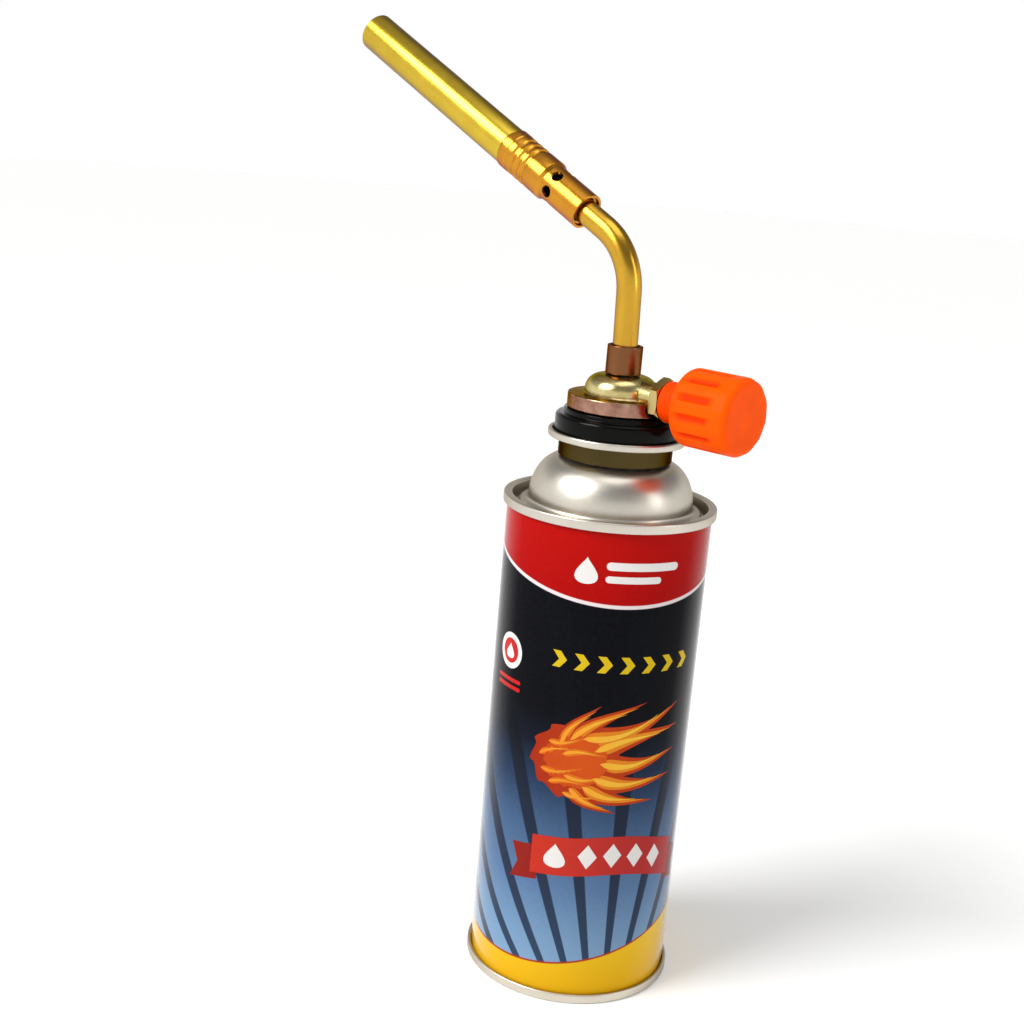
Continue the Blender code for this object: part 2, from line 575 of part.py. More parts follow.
def build_knob(knob_axis, carrier):
    knob = turned("gas_knob", (
        [(0.0, 42.0), (3.6, 42.0), (3.6, 24.2), (5.5, 24.2), (5.5, HUB_START)]
        + [(HUB_R - 0.3, HUB_START), (HUB_R, HUB_START + 0.4), (HUB_R, 23.2)]
        + arc((HUB_R + 0.9, 23.2), (0.9, 1.4), 180.0, 130.0, 2)[1:]
        + [(KNOB_R - 1.4, 27.2)]
        + arc((KNOB_R - 1.9, 29.2), (1.6, 1.6), -40.0, 0.0, 2)
        + [(KNOB_R, KNOB_FACE - 2.6)]
        + arc((KNOB_R - 2.0, KNOB_FACE - 2.6), (2.0, 2.2), 18.0, 90.0, 4)
        + [(5.0, KNOB_FACE), (0.0, KNOB_FACE)]
    ), BIG, ORANGE, knob_axis, ring=False)
    grips = cylinders("grip_tool", ring_places(GRIPS, KNOB_R + 0.9, 7.0), 1.5, 29.6, 41.5,
                      8, knob_axis)
    combine(knob, grips)

    turned("knob_insert", [
        (2.3, 24.5), (3.3, 24.5), (3.3, 41.7), (2.3, 41.7),
    ], SMALL, BRASS, knob_axis)
    rings = []
    for i in range(4):
        rings += [(2.2, 9.0 + i), (2.7, 9.2 + i), (2.7, 9.6 + i), (2.2, 9.8 + i)]
    turned("gas_spindle", (
        [(0.0, 3.4), (0.35, 3.4), (0.55, 5.1), (SPINDLE_R, 6.8), (SPINDLE_R, 8.8)]
        + rings
        + [(SPINDLE_R, 14.0), (SPINDLE_R, SPINDLE_END - 0.3), (SPINDLE_R - 0.3, SPINDLE_END)]
        + [(0.0, SPINDLE_END)]
    ), SMALL, STEEL, knob_axis, ring=False)
    turned("spindle_o_ring", arc((2.58, 13.9), (0.26, 0.5), 0.0, 300.0, 5), SMALL, RUBBER, carrier)

    # The gland nut's threaded end sits in the boss and holds the spindle's ring.
    nut = turned("packing_nut", [
        (2.4, 16.4), (3.0, 16.4), (3.0, 11.9), (4.0, 11.9), (4.0, NUT_START),
        (NUT_R - 0.7, NUT_START), (NUT_R, NUT_START + 0.4), (NUT_R, NUT_END - 0.4),
        (NUT_R - 0.7, NUT_END), (2.4, NUT_END),
    ], 24, PALE, knob_axis)
    hexagon = cylinders("hexagon_tool", [(0.0, 0.0, math.radians(30.0))], NUT_R, 10.0, 20.0, 6,
                        knob_axis)
    combine(nut, hexagon, "INTERSECT")


def main():
    for item in list(bpy.data.objects):
        bpy.data.objects.remove(item, do_unlink=True)
    stem_axis = empty("stem_axis", 0.0, 0.0, 90.0, None)
    head = empty("head_axis", 0.0, 0.0, 90.0, None)
    burner_axis = empty("burner_axis", BURNER_Z, HEAD_AZIMUTH, BURNER_RISE, head)
    knob_axis = empty("knob_axis", KNOB_AXIS_Z, HEAD_AZIMUTH + 180.0, 0.0, head)
    build_cartridge(stem_axis)
    relief = cylinders("nut_relief_tool", [(0.0, 0.0, 0.0)], NUT_RELIEF_R, BOSS_END, 26.0, 24,
                       knob_axis)
    holes = build_coupling(head, head, relief)
    build_valve_body(head, knob_axis, holes, relief)
    build_burner(head, burner_axis)
    build_knob(knob_axis, knob_axis)


main()
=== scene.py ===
"""Looks of a hand torch locked onto a butane cartridge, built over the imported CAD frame.

Lengths are millimetres, and MM turns them into metres.  The floor, the lights, the camera and
names that end in _M are in metres.  Angles of the object are degrees.
Every new piece is built in row-frame coordinates, and carries a point attribute "place" with
its position in its own turning axes (x and y across, z along), which its materials read.
"""
import math

import bmesh
import bpy
import numpy as np
from mathutils import Matrix, Vector


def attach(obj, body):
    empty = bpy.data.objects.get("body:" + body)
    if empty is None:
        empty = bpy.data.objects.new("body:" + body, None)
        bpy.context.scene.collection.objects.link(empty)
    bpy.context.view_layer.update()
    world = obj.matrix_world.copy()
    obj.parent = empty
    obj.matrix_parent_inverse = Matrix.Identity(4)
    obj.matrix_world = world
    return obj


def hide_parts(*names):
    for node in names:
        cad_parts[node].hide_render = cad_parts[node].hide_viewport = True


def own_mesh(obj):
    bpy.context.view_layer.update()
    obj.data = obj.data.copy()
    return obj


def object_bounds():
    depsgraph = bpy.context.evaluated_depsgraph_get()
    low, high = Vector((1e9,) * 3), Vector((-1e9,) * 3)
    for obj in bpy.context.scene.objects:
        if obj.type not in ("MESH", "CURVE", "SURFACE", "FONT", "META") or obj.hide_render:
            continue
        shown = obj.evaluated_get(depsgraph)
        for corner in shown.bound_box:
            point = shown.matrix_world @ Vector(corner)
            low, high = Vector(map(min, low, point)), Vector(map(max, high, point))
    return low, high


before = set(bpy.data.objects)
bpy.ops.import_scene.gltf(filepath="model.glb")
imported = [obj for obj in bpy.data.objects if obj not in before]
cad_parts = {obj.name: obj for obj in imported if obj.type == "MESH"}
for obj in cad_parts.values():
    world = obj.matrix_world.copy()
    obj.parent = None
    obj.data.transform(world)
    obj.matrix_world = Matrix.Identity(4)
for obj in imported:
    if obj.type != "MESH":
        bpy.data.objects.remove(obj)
cad_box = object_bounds()

MM = 0.001

# Turning axes of the torch head, in the row frame
HEAD_AZIMUTH = 142.5
NECK_LEAN = 2.0
NECK_PIVOT = 207.6
BURNER_Z = 240.4
BURNER_RISE = 27.2
KNOB_AXIS_Z = 197.0

# Cartridge
SHEET = 0.6
CAN_R = 33.15
SEAM_R = 34.45
SEAM_H = 3.1
SEAM_TOP = 162.3
DOME_R = 26.5
DOME_FOOT = 161.8
DOME_TOP = 175.3
NECK_R = 16.9
NECK_TOP = 177.6
COLLAR_R = 22.0
COLLAR_TOP = 184.0

# Gland nut, along the knob axis
BOSS_END = 15.3
NUT_R = 7.3
NUT_RELIEF_R = 7.7

# Coupling screws, on a circle about the cartridge's axis
SCREW_COUNT = 3
SCREW_CIRCLE_R = 11.3
SCREW_HOLE_R = 1.75
SCREW_LOW = 179.6
SCREW_HIGH = 194.8

# Neck and mixer sleeve
NECK_FOOT = 202.7
AIR_HOLE_COUNT = 6
AIR_HOLE_R = 1.95
AIR_HOLE_AT = 36.9
AIR_HOLE_TURN = 18.0
SLEEVE_R = 6.0

# Label: u is the arc length round the wall from the label's centre line, v is the height
LABEL_AZIMUTH = -78.0
LABEL_HEIGHT = 160.0
INK_LIFT = 0.05
INK_STRENGTH = 0.78
WRAP_STEP = 1.6

ROUND_SIDES = 144
METAL_GRAIN_M = 0.00003
PLASTIC_GRAIN_M = 0.00004
TINY = 1e-6
STRAIGHT = math.radians(172.0)
EDGE_SHARE = 0.45


# ---- axes and meshes

def axis_frame(height, azimuth, rise, out=0.0):
    """Matrix in mm whose local Z points along an axis through the cartridge's own axis."""
    turn = Matrix.Rotation(math.radians(azimuth), 4, "Z")
    tilt = Matrix.Rotation(math.radians(90.0 - rise), 4, "Y")
    return turn @ Matrix.Translation((out, 0.0, height)) @ tilt


UPRIGHT = Matrix.Identity(4)
BURNER_AXIS = axis_frame(BURNER_Z, HEAD_AZIMUTH, BURNER_RISE)
KNOB_AXIS = axis_frame(KNOB_AXIS_Z, HEAD_AZIMUTH + 180.0, 0.0)


def arc(centre, radii, start, end, steps):
    """Points on an ellipse in the (radius, height) plane, angles in degrees."""
    points = []
    for i in range(steps + 1):
        a = math.radians(start + (end - start) * i / steps)
        points.append((centre[0] + radii[0] * math.cos(a), centre[1] + radii[1] * math.sin(a)))
    return points


def soften(corners, radius, steps, closed=True):
    """Rounds every corner of a section with an arc of about the given radius."""
    points = []
    count = len(corners)
    for i, corner in enumerate(corners):
        if not closed and i in (0, count - 1):
            points.append(corner)
            continue
        here = Vector(corner)
        before = Vector(corners[i - 1]) - here
        after = Vector(corners[(i + 1) % count]) - here
        if min(before.length, after.length) < TINY:
            continue
        bend = before.angle(after)
        if bend > STRAIGHT:
            points.append(corner)
            continue
        reach = radius / math.tan(bend / 2)
        reach = min(reach, EDGE_SHARE * before.length, EDGE_SHARE * after.length)
        first = here + before.normalized() * reach
        last = here + after.normalized() * reach
        for k in range(steps + 1):
            t = k / steps
            point = first * (1 - t) ** 2 + here * (2 * t * (1 - t)) + last * t ** 2
            points.append((point.x, point.y))
    return points


def mesh_from(bm, name):
    """Writes a bmesh into a new mesh and frees it."""
    mesh = bpy.data.meshes.new(name)
    bm.to_mesh(mesh)
    bm.free()
    return mesh


def new_object(name, data):
    """A new object in the scene."""
    item = bpy.data.objects.new(name, data)
    bpy.context.scene.collection.objects.link(item)
    return item


def bridge(bm, first, second):
    """Quads between two rings of vertices."""
    count = len(first)
    for k in range(count):
        j = (k + 1) % count
        bm.faces.new((first[k], first[j], second[j], second[k]))


def add_piece(name, bm, axes, body, nodes, materials, sharp=35.0):
    """Turns a bmesh in local mm into a piece that rides on a body and stands for CAD nodes."""
    bmesh.ops.recalc_face_normals(bm, faces=bm.faces)
    mesh = mesh_from(bm, name)
    place = mesh.attributes.new("place", "FLOAT_VECTOR", "POINT")
    local = np.zeros(len(mesh.vertices) * 3, np.float32)
    mesh.vertices.foreach_get("co", local)
    place.data.foreach_set("vector", local)
    mesh.transform(Matrix.Scale(MM, 4) @ axes)
    mesh.shade_smooth()
    mesh.set_sharp_from_angle(angle=math.radians(sharp))
    for item in materials:
        mesh.materials.append(item)
    piece = new_object(name, mesh)
    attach(piece, body)
    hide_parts(*nodes)
    return piece


def turned_bmesh(profile, sides=ROUND_SIDES, closed=True, shape=None):
    """Turns a section about local Z.  shape(angle, r, z) may change the radius."""
    bm = bmesh.new()
    rows = []
    for r, z in profile:
        if r < TINY:
            rows.append([bm.verts.new((0.0, 0.0, z))])
            continue
        row = []
        for k in range(sides):
            a = math.tau * k / sides
            radius = shape(a, r, z) if shape else r
            row.append(bm.verts.new((radius * math.cos(a), radius * math.sin(a), z)))
        rows.append(row)
    for i in range(len(rows) if closed else len(rows) - 1):
        low, high = rows[i], rows[(i + 1) % len(rows)]
        for k in range(sides):
            j = (k + 1) % sides
            corners = []
            for vert in (low[k % len(low)], low[j % len(low)], high[j % len(high)],
                         high[k % len(high)]):
                if vert not in corners:
                    corners.append(vert)
            if len(corners) > 2:
                bm.faces.new(corners)
    return bm


def turned(name, profile, axes, body, nodes, materials, closed=True, sides=ROUND_SIDES,
           shape=None, sharp=35.0):
    """Turns a section into a piece."""
    bm = turned_bmesh(profile, sides, closed, shape)
    return add_piece(name, bm, axes, body, nodes, materials, sharp)


def cylinder_bmesh(radius, low, high, sides, place):
    """A closed cylinder along local Z, put in place by a matrix in mm."""
    bm = bmesh.new()
    middle = Matrix.Translation((0, 0, (low + high) / 2))
    bmesh.ops.create_cone(bm, cap_ends=True, segments=sides, radius1=radius, radius2=radius,
                          depth=high - low, matrix=place @ middle)
    return bm


def sector_bmesh(centre, half, r_low, r_high, z_low, z_high, steps=16):
    """A wedge of a ring about the Z axis."""
    bm = bmesh.new()
    angles = [math.radians(centre - half + 2 * half * i / steps) for i in range(steps + 1)]
    loop = [(r_high * math.cos(a), r_high * math.sin(a)) for a in angles]
    loop += [(r_low * math.cos(a), r_low * math.sin(a)) for a in reversed(angles)]
    low, high = [[bm.verts.new((x, y, z)) for x, y in loop] for z in (z_low, z_high)]
    bm.faces.new(low[::-1])
    bm.faces.new(high)
    bridge(bm, low, high)
    return bm


def cut(bm, tools, operation="DIFFERENCE"):
    """Applies exact booleans to a bmesh and gives back the result, all in local mm."""
    holders = []
    for item in [bm] + tools:
        holders.append(new_object("work", mesh_from(item, "work")))
    for tool in holders[1:]:
        step = holders[0].modifiers.new("cut", "BOOLEAN")
        step.operation = operation
        step.solver = "EXACT"
        step.object = tool
    graph = bpy.context.evaluated_depsgraph_get()
    made = bpy.data.meshes.new_from_object(holders[0].evaluated_get(graph), depsgraph=graph)
    result = bmesh.new()
    result.from_mesh(made)
    for holder in holders:
        mesh = holder.data
        bpy.data.objects.remove(holder)
        bpy.data.meshes.remove(mesh)
    bpy.data.meshes.remove(made)
    return result


def round_wall(piece, axes, radius, low, high):
    """Gives a cylindrical wall that booleans have cut its exact round normals back."""
    near, facing = 0.03, 0.9
    mesh = piece.data
    back = (Matrix.Scale(MM, 4) @ axes).inverted()
    spin = axes.to_3x3()
    normals = [tuple(item.vector) for item in mesh.corner_normals]
    for face in mesh.polygons:
        for corner in face.loop_indices:
            point = back @ mesh.vertices[mesh.loops[corner].vertex_index].co
            flat = Vector((point.x, point.y, 0.0))
            if abs(flat.length - radius) > near or not low < point.z < high:
                continue
            exact = (spin @ flat.normalized()).normalized()
            if face.normal.dot(exact) > facing:
                normals[corner] = tuple(exact)
    mesh.normals_split_custom_set(normals)


# ---- material graphs

def fill_ramp(band, stops):
    """Writes (position, colour) stops into a colour ramp."""
    while len(band.elements) < len(stops):
        band.elements.new(0.5)
    for element, (at, colour) in zip(band.elements, stops):
        element.position = at
        element.color = (*colour, 1.0)


class Graph:
    """A small helper for writing shader graphs."""

    def __init__(self, name):
        self.material = bpy.data.materials.new(name)
        self.material.use_nodes = True
        self.tree = self.material.node_tree
        self.shader = self.tree.nodes["Principled BSDF"]

    def node(self, kind, **settings):
        made = self.tree.nodes.new(kind)
        for key, value in settings.items():
            setattr(made, key, value)
        return made

    def put(self, socket, value):
        if isinstance(value, bpy.types.NodeSocket):
            self.tree.links.new(value, socket)
        elif isinstance(value, (tuple, list)) and len(value) == 3 and socket.type == "RGBA":
            socket.default_value = (*value, 1.0)
        else:
            socket.default_value = value

    def math(self, operation, a, b=0.0, c=0.0):
        made = self.node("ShaderNodeMath", operation=operation)
        for socket, value in zip(made.inputs, (a, b, c)):
            self.put(socket, value)
        return made.outputs[0]

    def place(self):
        """The piece's own coordinates in mm."""
        return self.node("ShaderNodeAttribute", attribute_name="place").outputs["Vector"]

    def world_mm(self):
        """Row-frame coordinates in mm, for the carried-over CAD nodes."""
        coords = self.node("ShaderNodeTexCoord").outputs["Object"]
        made = self.node("ShaderNodeVectorMath", operation="SCALE")
        self.put(made.inputs[0], coords)
        made.inputs["Scale"].default_value = 1.0 / MM
        return made.outputs[0]

    def split(self, vector):
        made = self.node("ShaderNodeSeparateXYZ")
        self.put(made.inputs[0], vector)
        return made.outputs[0], made.outputs[1], made.outputs[2]

    def join(self, x, y, z):
        made = self.node("ShaderNodeCombineXYZ")
        for socket, value in zip(made.inputs, (x, y, z)):
            self.put(socket, value)
        return made.outputs[0]

    def noise(self, vector, scale, detail, roughness, stretch=(1.0, 1.0, 1.0)):
        mapping = self.node("ShaderNodeMapping")
        self.put(mapping.inputs["Vector"], vector)
        mapping.inputs["Scale"].default_value = stretch
        made = self.node("ShaderNodeTexNoise")
        self.put(made.inputs["Vector"], mapping.outputs[0])
        made.inputs["Scale"].default_value = scale
        made.inputs["Detail"].default_value = detail
        made.inputs["Roughness"].default_value = roughness
        return made.outputs[0]

    def ramp(self, value, stops):
        made = self.node("ShaderNodeValToRGB")
        self.put(made.inputs[0], value)
        fill_ramp(made.color_ramp, stops)
        return made.outputs[0]

    def level(self, value, low, high, out_low, out_high):
        """Maps low..high onto out_low..out_high, clamped."""
        made = self.node("ShaderNodeMapRange")
        for key, number in (("Value", value), ("From Min", low), ("From Max", high),
                            ("To Min", out_low), ("To Max", out_high)):
            self.put(made.inputs[key], number)
        return made.outputs[0]

    def mix(self, factor, a, b, blend="MIX"):
        made = self.node("ShaderNodeMix", data_type="RGBA", blend_type=blend)
        self.put(made.inputs[0], factor)
        self.put(made.inputs[6], a)
        self.put(made.inputs[7], b)
        return made.outputs[2]

    def bump(self, height, strength, distance_m):
        made = self.node("ShaderNodeBump")
        self.put(made.inputs["Height"], height)
        made.inputs["Strength"].default_value = strength
        made.inputs["Distance"].default_value = distance_m
        self.tree.links.new(made.outputs[0], self.shader.inputs["Normal"])

    def set(self, **values):
        for key, value in values.items():
            self.put(self.shader.inputs[key.replace("_", " ")], value)
        return self


def srgb(r, g, b):
    """Linear colour of an 0-255 display colour."""
    out = []
    for value in (r, g, b):
        c = value / 255.0
        out.append(c / 12.92 if c <= 0.04045 else ((c + 0.055) / 1.055) ** 2.4)
    return tuple(out)


def shade(colour, factor):
    return tuple(min(1.0, c * factor) for c in colour)


def metal(name, colour, rough, tint, grain=(1.0, 1.0, 0.06), grain_scale=2.2, patch=0.10,
          from_world=False, bump=0.03, stain=None, speck=0.10, coat=0.0):
    """Machined or drawn metal: fine tool lines, soft handling marks and colour drift."""
    g = Graph(name)
    where = g.world_mm() if from_world else g.place()
    lines = g.noise(where, grain_scale, 4.0, 0.6, grain)
    marks = g.noise(where, 0.11, 5.0, 0.65)
    specks = g.noise(where, 1.7, 2.0, 0.5)
    drift = g.level(marks, 0.35, 0.65, 0.0, 1.0)
    base = g.mix(drift, shade(colour, 1.0 - patch), shade(colour, 1.0 + patch * 0.5))
    base = g.mix(g.level(specks, 0.70, 0.85, 0.0, speck), base, stain or shade(colour, 0.62))
    rough_a = g.level(lines, 0.3, 0.7, rough * 0.94, rough * 1.06)
    rough_b = g.level(marks, 0.45, 0.75, 0.0, 0.05)
    g.set(Base_Color=base, Metallic=1.0, Roughness=g.math("ADD", rough_a, rough_b))
    # Specular tint colours the reflections at grazing angles. Where it is darker than the metal,
    # it paints shade into the edges.
    g.shader.inputs["Specular Tint"].default_value = (*tint, 1.0)
    g.shader.inputs["Coat Weight"].default_value = coat
    g.shader.inputs["Coat Roughness"].default_value = 0.22
    g.bump(lines, bump, METAL_GRAIN_M)
    return g.material


def plastic(name, colour, rough, from_world=False, grain=0.06, ior=1.45):
    """Moulded plastic: fine spark texture, faint flow marks and rubbed patches."""
    g = Graph(name)
    where = g.world_mm() if from_world else g.place()
    flow = g.noise(where, 0.09, 3.0, 0.5)
    fine = g.noise(where, 7.0, 2.0, 0.5)
    rub = g.noise(where, 0.35, 4.0, 0.6)
    base = g.mix(g.level(flow, 0.35, 0.65, 0.0, 1.0), shade(colour, 0.82), colour)
    g.set(Base_Color=base, Roughness=g.level(rub, 0.35, 0.7, rough * 0.85, rough * 1.2))
    g.shader.inputs["IOR"].default_value = ior
    g.bump(fine, grain, PLASTIC_GRAIN_M)
    return g.material


# ---- printed label

def lacquer(g):
    """The clear varnish over the print: a faint, sharp gloss."""
    g.shader.inputs["IOR"].default_value = 1.08
    edge = g.node("ShaderNodeLayerWeight").outputs["Facing"]
    g.put(g.shader.inputs["Coat Weight"], g.level(edge, 0.42, 0.88, 0.07, 1.0))
    g.shader.inputs["Coat Roughness"].default_value = 0.05
    g.shader.inputs["Coat IOR"].default_value = 1.5


def label_material():
    """Lithographed tinplate: red cap band, dark field over a blue sunburst, yellow foot."""
    g = Graph("printed_label")
    x, y, v = g.split(g.place())
    turn = math.radians(LABEL_AZIMUTH)
    along = g.math("ADD", g.math("MULTIPLY", x, math.cos(turn)),
                   g.math("MULTIPLY", y, math.sin(turn)))
    across = g.math("SUBTRACT", g.math("MULTIPLY", y, math.cos(turn)),
                    g.math("MULTIPLY", x, math.sin(turn)))
    theta = g.math("ARCTAN2", across, along)
    u = g.math("MULTIPLY", theta, CAN_R)

    # Field: near black at the top, steel blue at the foot.
    grain = g.noise(g.place(), 0.9, 3.0, 0.6)
    height = g.math("ADD", v, g.level(grain, 0.3, 0.7, -1.5, 1.5))
    field = g.ramp(g.level(height, 0.0, LABEL_HEIGHT, 0.0, 1.0), [
        (0.06, srgb(134, 168, 203)), (0.14, srgb(120, 155, 190)), (0.25, srgb(92, 123, 163)),
        (0.37, srgb(70, 98, 134)), (0.46, srgb(42, 62, 92)), (0.55, srgb(17, 23, 37)),
        (0.62, srgb(5, 6, 13)),
    ])
    beam = g.ramp(g.level(height, 0.0, LABEL_HEIGHT, 0.0, 1.0), [
        (0.10, srgb(52, 70, 96)), (0.26, srgb(42, 53, 76)), (0.42, srgb(32, 42, 60)),
        (0.56, srgb(12, 16, 27)), (0.64, srgb(6, 8, 15)),
    ])
    # Dark beams fan upward from a point below the can.
    fan_u, fan_depth, pitch = 7.0, 27.0, math.radians(9.5)
    fan = g.math("ARCTAN2", g.math("SUBTRACT", u, fan_u), g.math("ADD", v, fan_depth))
    cycle = g.math("FRACT", g.math("ADD", g.math("DIVIDE", fan, pitch), 20.5))
    beat = g.math("ABSOLUTE", g.math("SUBTRACT", cycle, 0.5))
    is_beam = g.level(beat, 0.135, 0.165, 1.0, 0.0)
    colour = g.mix(is_beam, field, beam)

    # Weld strip at the back, left unprinted.
    behind = g.math("SUBTRACT", math.pi * CAN_R, g.math("ABSOLUTE", u))
    is_bare = g.level(behind, 2.4, 2.7, 1.0, 0.0)

    # Red band with a cream keyline along its curved lower edge.
    red_foot, red_rise = 136.3, 9.2
    red_edge = g.math("MULTIPLY_ADD", g.math("COSINE", theta), -red_rise, red_foot + red_rise)
    over_red = g.math("SUBTRACT", v, red_edge)
    red = g.mix(g.level(over_red, 0.0, 22.0, 0.0, 1.0), srgb(176, 4, 2), srgb(190, 10, 4))
    colour = g.mix(g.level(over_red, -1.25, -1.05, 0.0, 1.0), colour, srgb(238, 226, 226))
    colour = g.mix(g.level(over_red, -0.1, 0.1, 0.0, 1.0), colour, red)

    # Yellow foot with a red keyline along its slanted upper edge.
    slant = g.math("COSINE", g.math("ADD", theta, math.radians(52.0)))
    foot_edge = g.math("MULTIPLY_ADD", slant, -10.0, 21.3)
    under_foot = g.math("SUBTRACT", foot_edge, v)
    yellow = g.mix(g.level(v, 0.0, 26.0, 0.0, 1.0), srgb(236, 176, 10), srgb(246, 202, 34))
    colour = g.mix(g.level(under_foot, -0.75, -0.55, 0.0, 1.0), colour, srgb(176, 52, 34))
    colour = g.mix(g.level(under_foot, -0.1, 0.1, 0.0, 1.0), colour, yellow)

    # Ink density, handling scuffs and small tin-bright nicks.
    scuffs = g.noise(g.join(u, 0.0, g.math("MULTIPLY", v, 0.35)), 0.55, 5.0, 0.7)
    nicks = g.level(g.noise(g.place(), 2.6, 2.0, 0.5), 0.775, 0.795, 0.0, 0.35)
    ink = g.mix(g.level(grain, 0.3, 0.75, 0.0, 0.018), colour, srgb(120, 120, 124))
    ink = g.mix(g.math("MULTIPLY", nicks, g.level(scuffs, 0.5, 0.6, 0.0, 1.0)), ink,
                srgb(190, 186, 178))
    ink = g.mix(1.0, ink, (INK_STRENGTH,) * 3, "MULTIPLY")
    base = g.mix(is_bare, ink, srgb(196, 190, 178))
    g.set(Base_Color=base, Metallic=is_bare,
          Roughness=g.level(scuffs, 0.35, 0.75, 0.30, 0.46))
    lacquer(g)
    dents = g.noise(g.place(), 0.05, 2.0, 0.4)
    g.bump(g.math("ADD", g.math("MULTIPLY", dents, 6.0), g.math("MULTIPLY", grain, 0.35)),
           0.20, 0.0001)
    return g.material


def ink_material(name, first, second, along=(0.0, 1.0), span=(0.0, 100.0), streak=0.25):
    """Printed ink that runs from one colour to another along a direction in (u, v)."""
    g = Graph(name)
    u, v, _ = g.split(g.place())
    run = g.math("ADD", g.math("MULTIPLY", u, along[0]), g.math("MULTIPLY", v, along[1]))
    ripple = g.noise(g.join(u, v, 0.0), 0.28, 4.0, 0.65)
    shift = g.math("MULTIPLY", g.math("SUBTRACT", ripple, 0.5), streak * (span[1] - span[0]))
    at = g.level(g.math("ADD", run, shift), span[0], span[1], 0.0, 1.0)
    dots = g.noise(g.join(u, v, 0.0), 2.4, 2.0, 0.5)
    colour = g.mix(at, first, second)
    colour = g.mix(g.level(dots, 0.3, 0.75, 0.0, 0.06), colour, srgb(120, 118, 116))
    colour = g.mix(1.0, colour, (INK_STRENGTH,) * 3, "MULTIPLY")
    g.set(Base_Color=colour, Roughness=g.level(dots, 0.3, 0.7, 0.30, 0.40))
    lacquer(g)
    g.bump(dots, 0.05, PLASTIC_GRAIN_M)
    return g.material


def curve_through(points, steps=8):
    """A smooth closed outline through control points (Catmull-Rom)."""
    count = len(points)
    out = []
    for i in range(count):
        p = [Vector(points[(i + k) % count]) for k in (-1, 0, 1, 2)]
        for k in range(steps):
            t = k / steps
            out.append(0.5 * (2 * p[1] + (p[2] - p[0]) * t
                              + (2 * p[0] - 5 * p[1] + 4 * p[2] - p[3]) * t ** 2
                              + (3 * p[1] - p[0] - 3 * p[2] + p[3]) * t ** 3))
    return [(q.x, q.y) for q in out]


def patch(name, outlines, material, lift=INK_LIFT):
    """Printed areas on the can wall, drawn as outlines in (u, v) and wrapped on the cylinder."""
    bm = bmesh.new()
    for outline in outlines:
        verts = [bm.verts.new((u, v, 0.0)) for u, v in outline]
        face = bm.faces.new(verts)
        if face.normal.z < 0:
            face.normal_flip()
        bmesh.ops.triangulate(bm, faces=[face])
    low = min(vert.co.x for vert in bm.verts)
    high = max(vert.co.x for vert in bm.verts)
    for i in range(1, int((high - low) / WRAP_STEP) + 1):
        bmesh.ops.bisect_plane(bm, geom=list(bm.verts) + list(bm.edges) + list(bm.faces),
                               plane_co=(low + WRAP_STEP * i, 0.0, 0.0), plane_no=(1.0, 0.0, 0.0))
    bmesh.ops.recalc_face_normals(bm, faces=bm.faces)
    mesh = mesh_from(bm, name)
    place = mesh.attributes.new("place", "FLOAT_VECTOR", "POINT")
    flat = [tuple(vert.co) for vert in mesh.vertices]
    place.data.foreach_set("vector", [number for point in flat for number in point])
    radius = CAN_R + lift
    for vert, (u, v, _) in zip(mesh.vertices, flat):
        a = math.radians(LABEL_AZIMUTH) + u / CAN_R
        vert.co = (radius * MM * math.cos(a), radius * MM * math.sin(a), v * MM)
    inward = sum(1 for face in mesh.polygons
                 if face.normal.dot(Vector((*face.center.xy, 0.0))) < 0)
    if inward > len(mesh.polygons) / 2:
        mesh.flip_normals()
    mesh.shade_smooth()
    mesh.materials.append(material)
    piece = new_object(name, mesh)
    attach(piece, "cartridge")


def circle(u, v, radius, count=40):
    angles = [math.tau * k / count for k in range(count)]
    return [(u + radius * math.cos(a), v + radius * math.sin(a)) for a in angles]


def bar(u, v, width, height):
    """A bar with rounded ends, centred on (u, v)."""
    half, end = width / 2 - height / 2, height / 2
    turn = np.linspace(0, math.pi, 8)
    points = [(half + end * math.sin(a), end * math.cos(a)) for a in turn]
    points += [(-half - end * math.sin(a), -end * math.cos(a)) for a in turn]
    return [(u + x, v + y) for x, y in points]


def drop(u, v, size):
    """A plain drop shape with its tip up."""
    points = []
    for k in range(32):
        a = math.tau * k / 32
        x = math.sin(a) * math.sin(a / 2) ** 1.6
        points.append((u + size * 0.62 * x, v + size * 0.5 * math.cos(a)))
    return points


def tongue(root, tip, width, sway, steps=14):
    """One flame tongue: a tapering, swaying blade from root to tip."""
    root, tip = Vector(root), Vector(tip)
    run = tip - root
    side = Vector((-run.y, run.x)).normalized()
    left, right = [], []
    for k in range(steps + 1):
        t = k / steps
        middle = root + run * t + side * sway * math.sin(math.pi * t) * (1.0 - 0.35 * t)
        half = width * (1.0 - t) ** 0.75 * (0.55 + 0.45 * math.cos(2.2 * t))
        half *= math.sin(math.pi / 2 * min(1.0, t / 0.22)) ** 0.6
        left.append(middle + side * half)
        right.append(middle - side * half)
    outline = left[:-1] + [tip] + right[1:-1][::-1]
    return [(p.x, p.y) for p in outline]


# ---- finishes

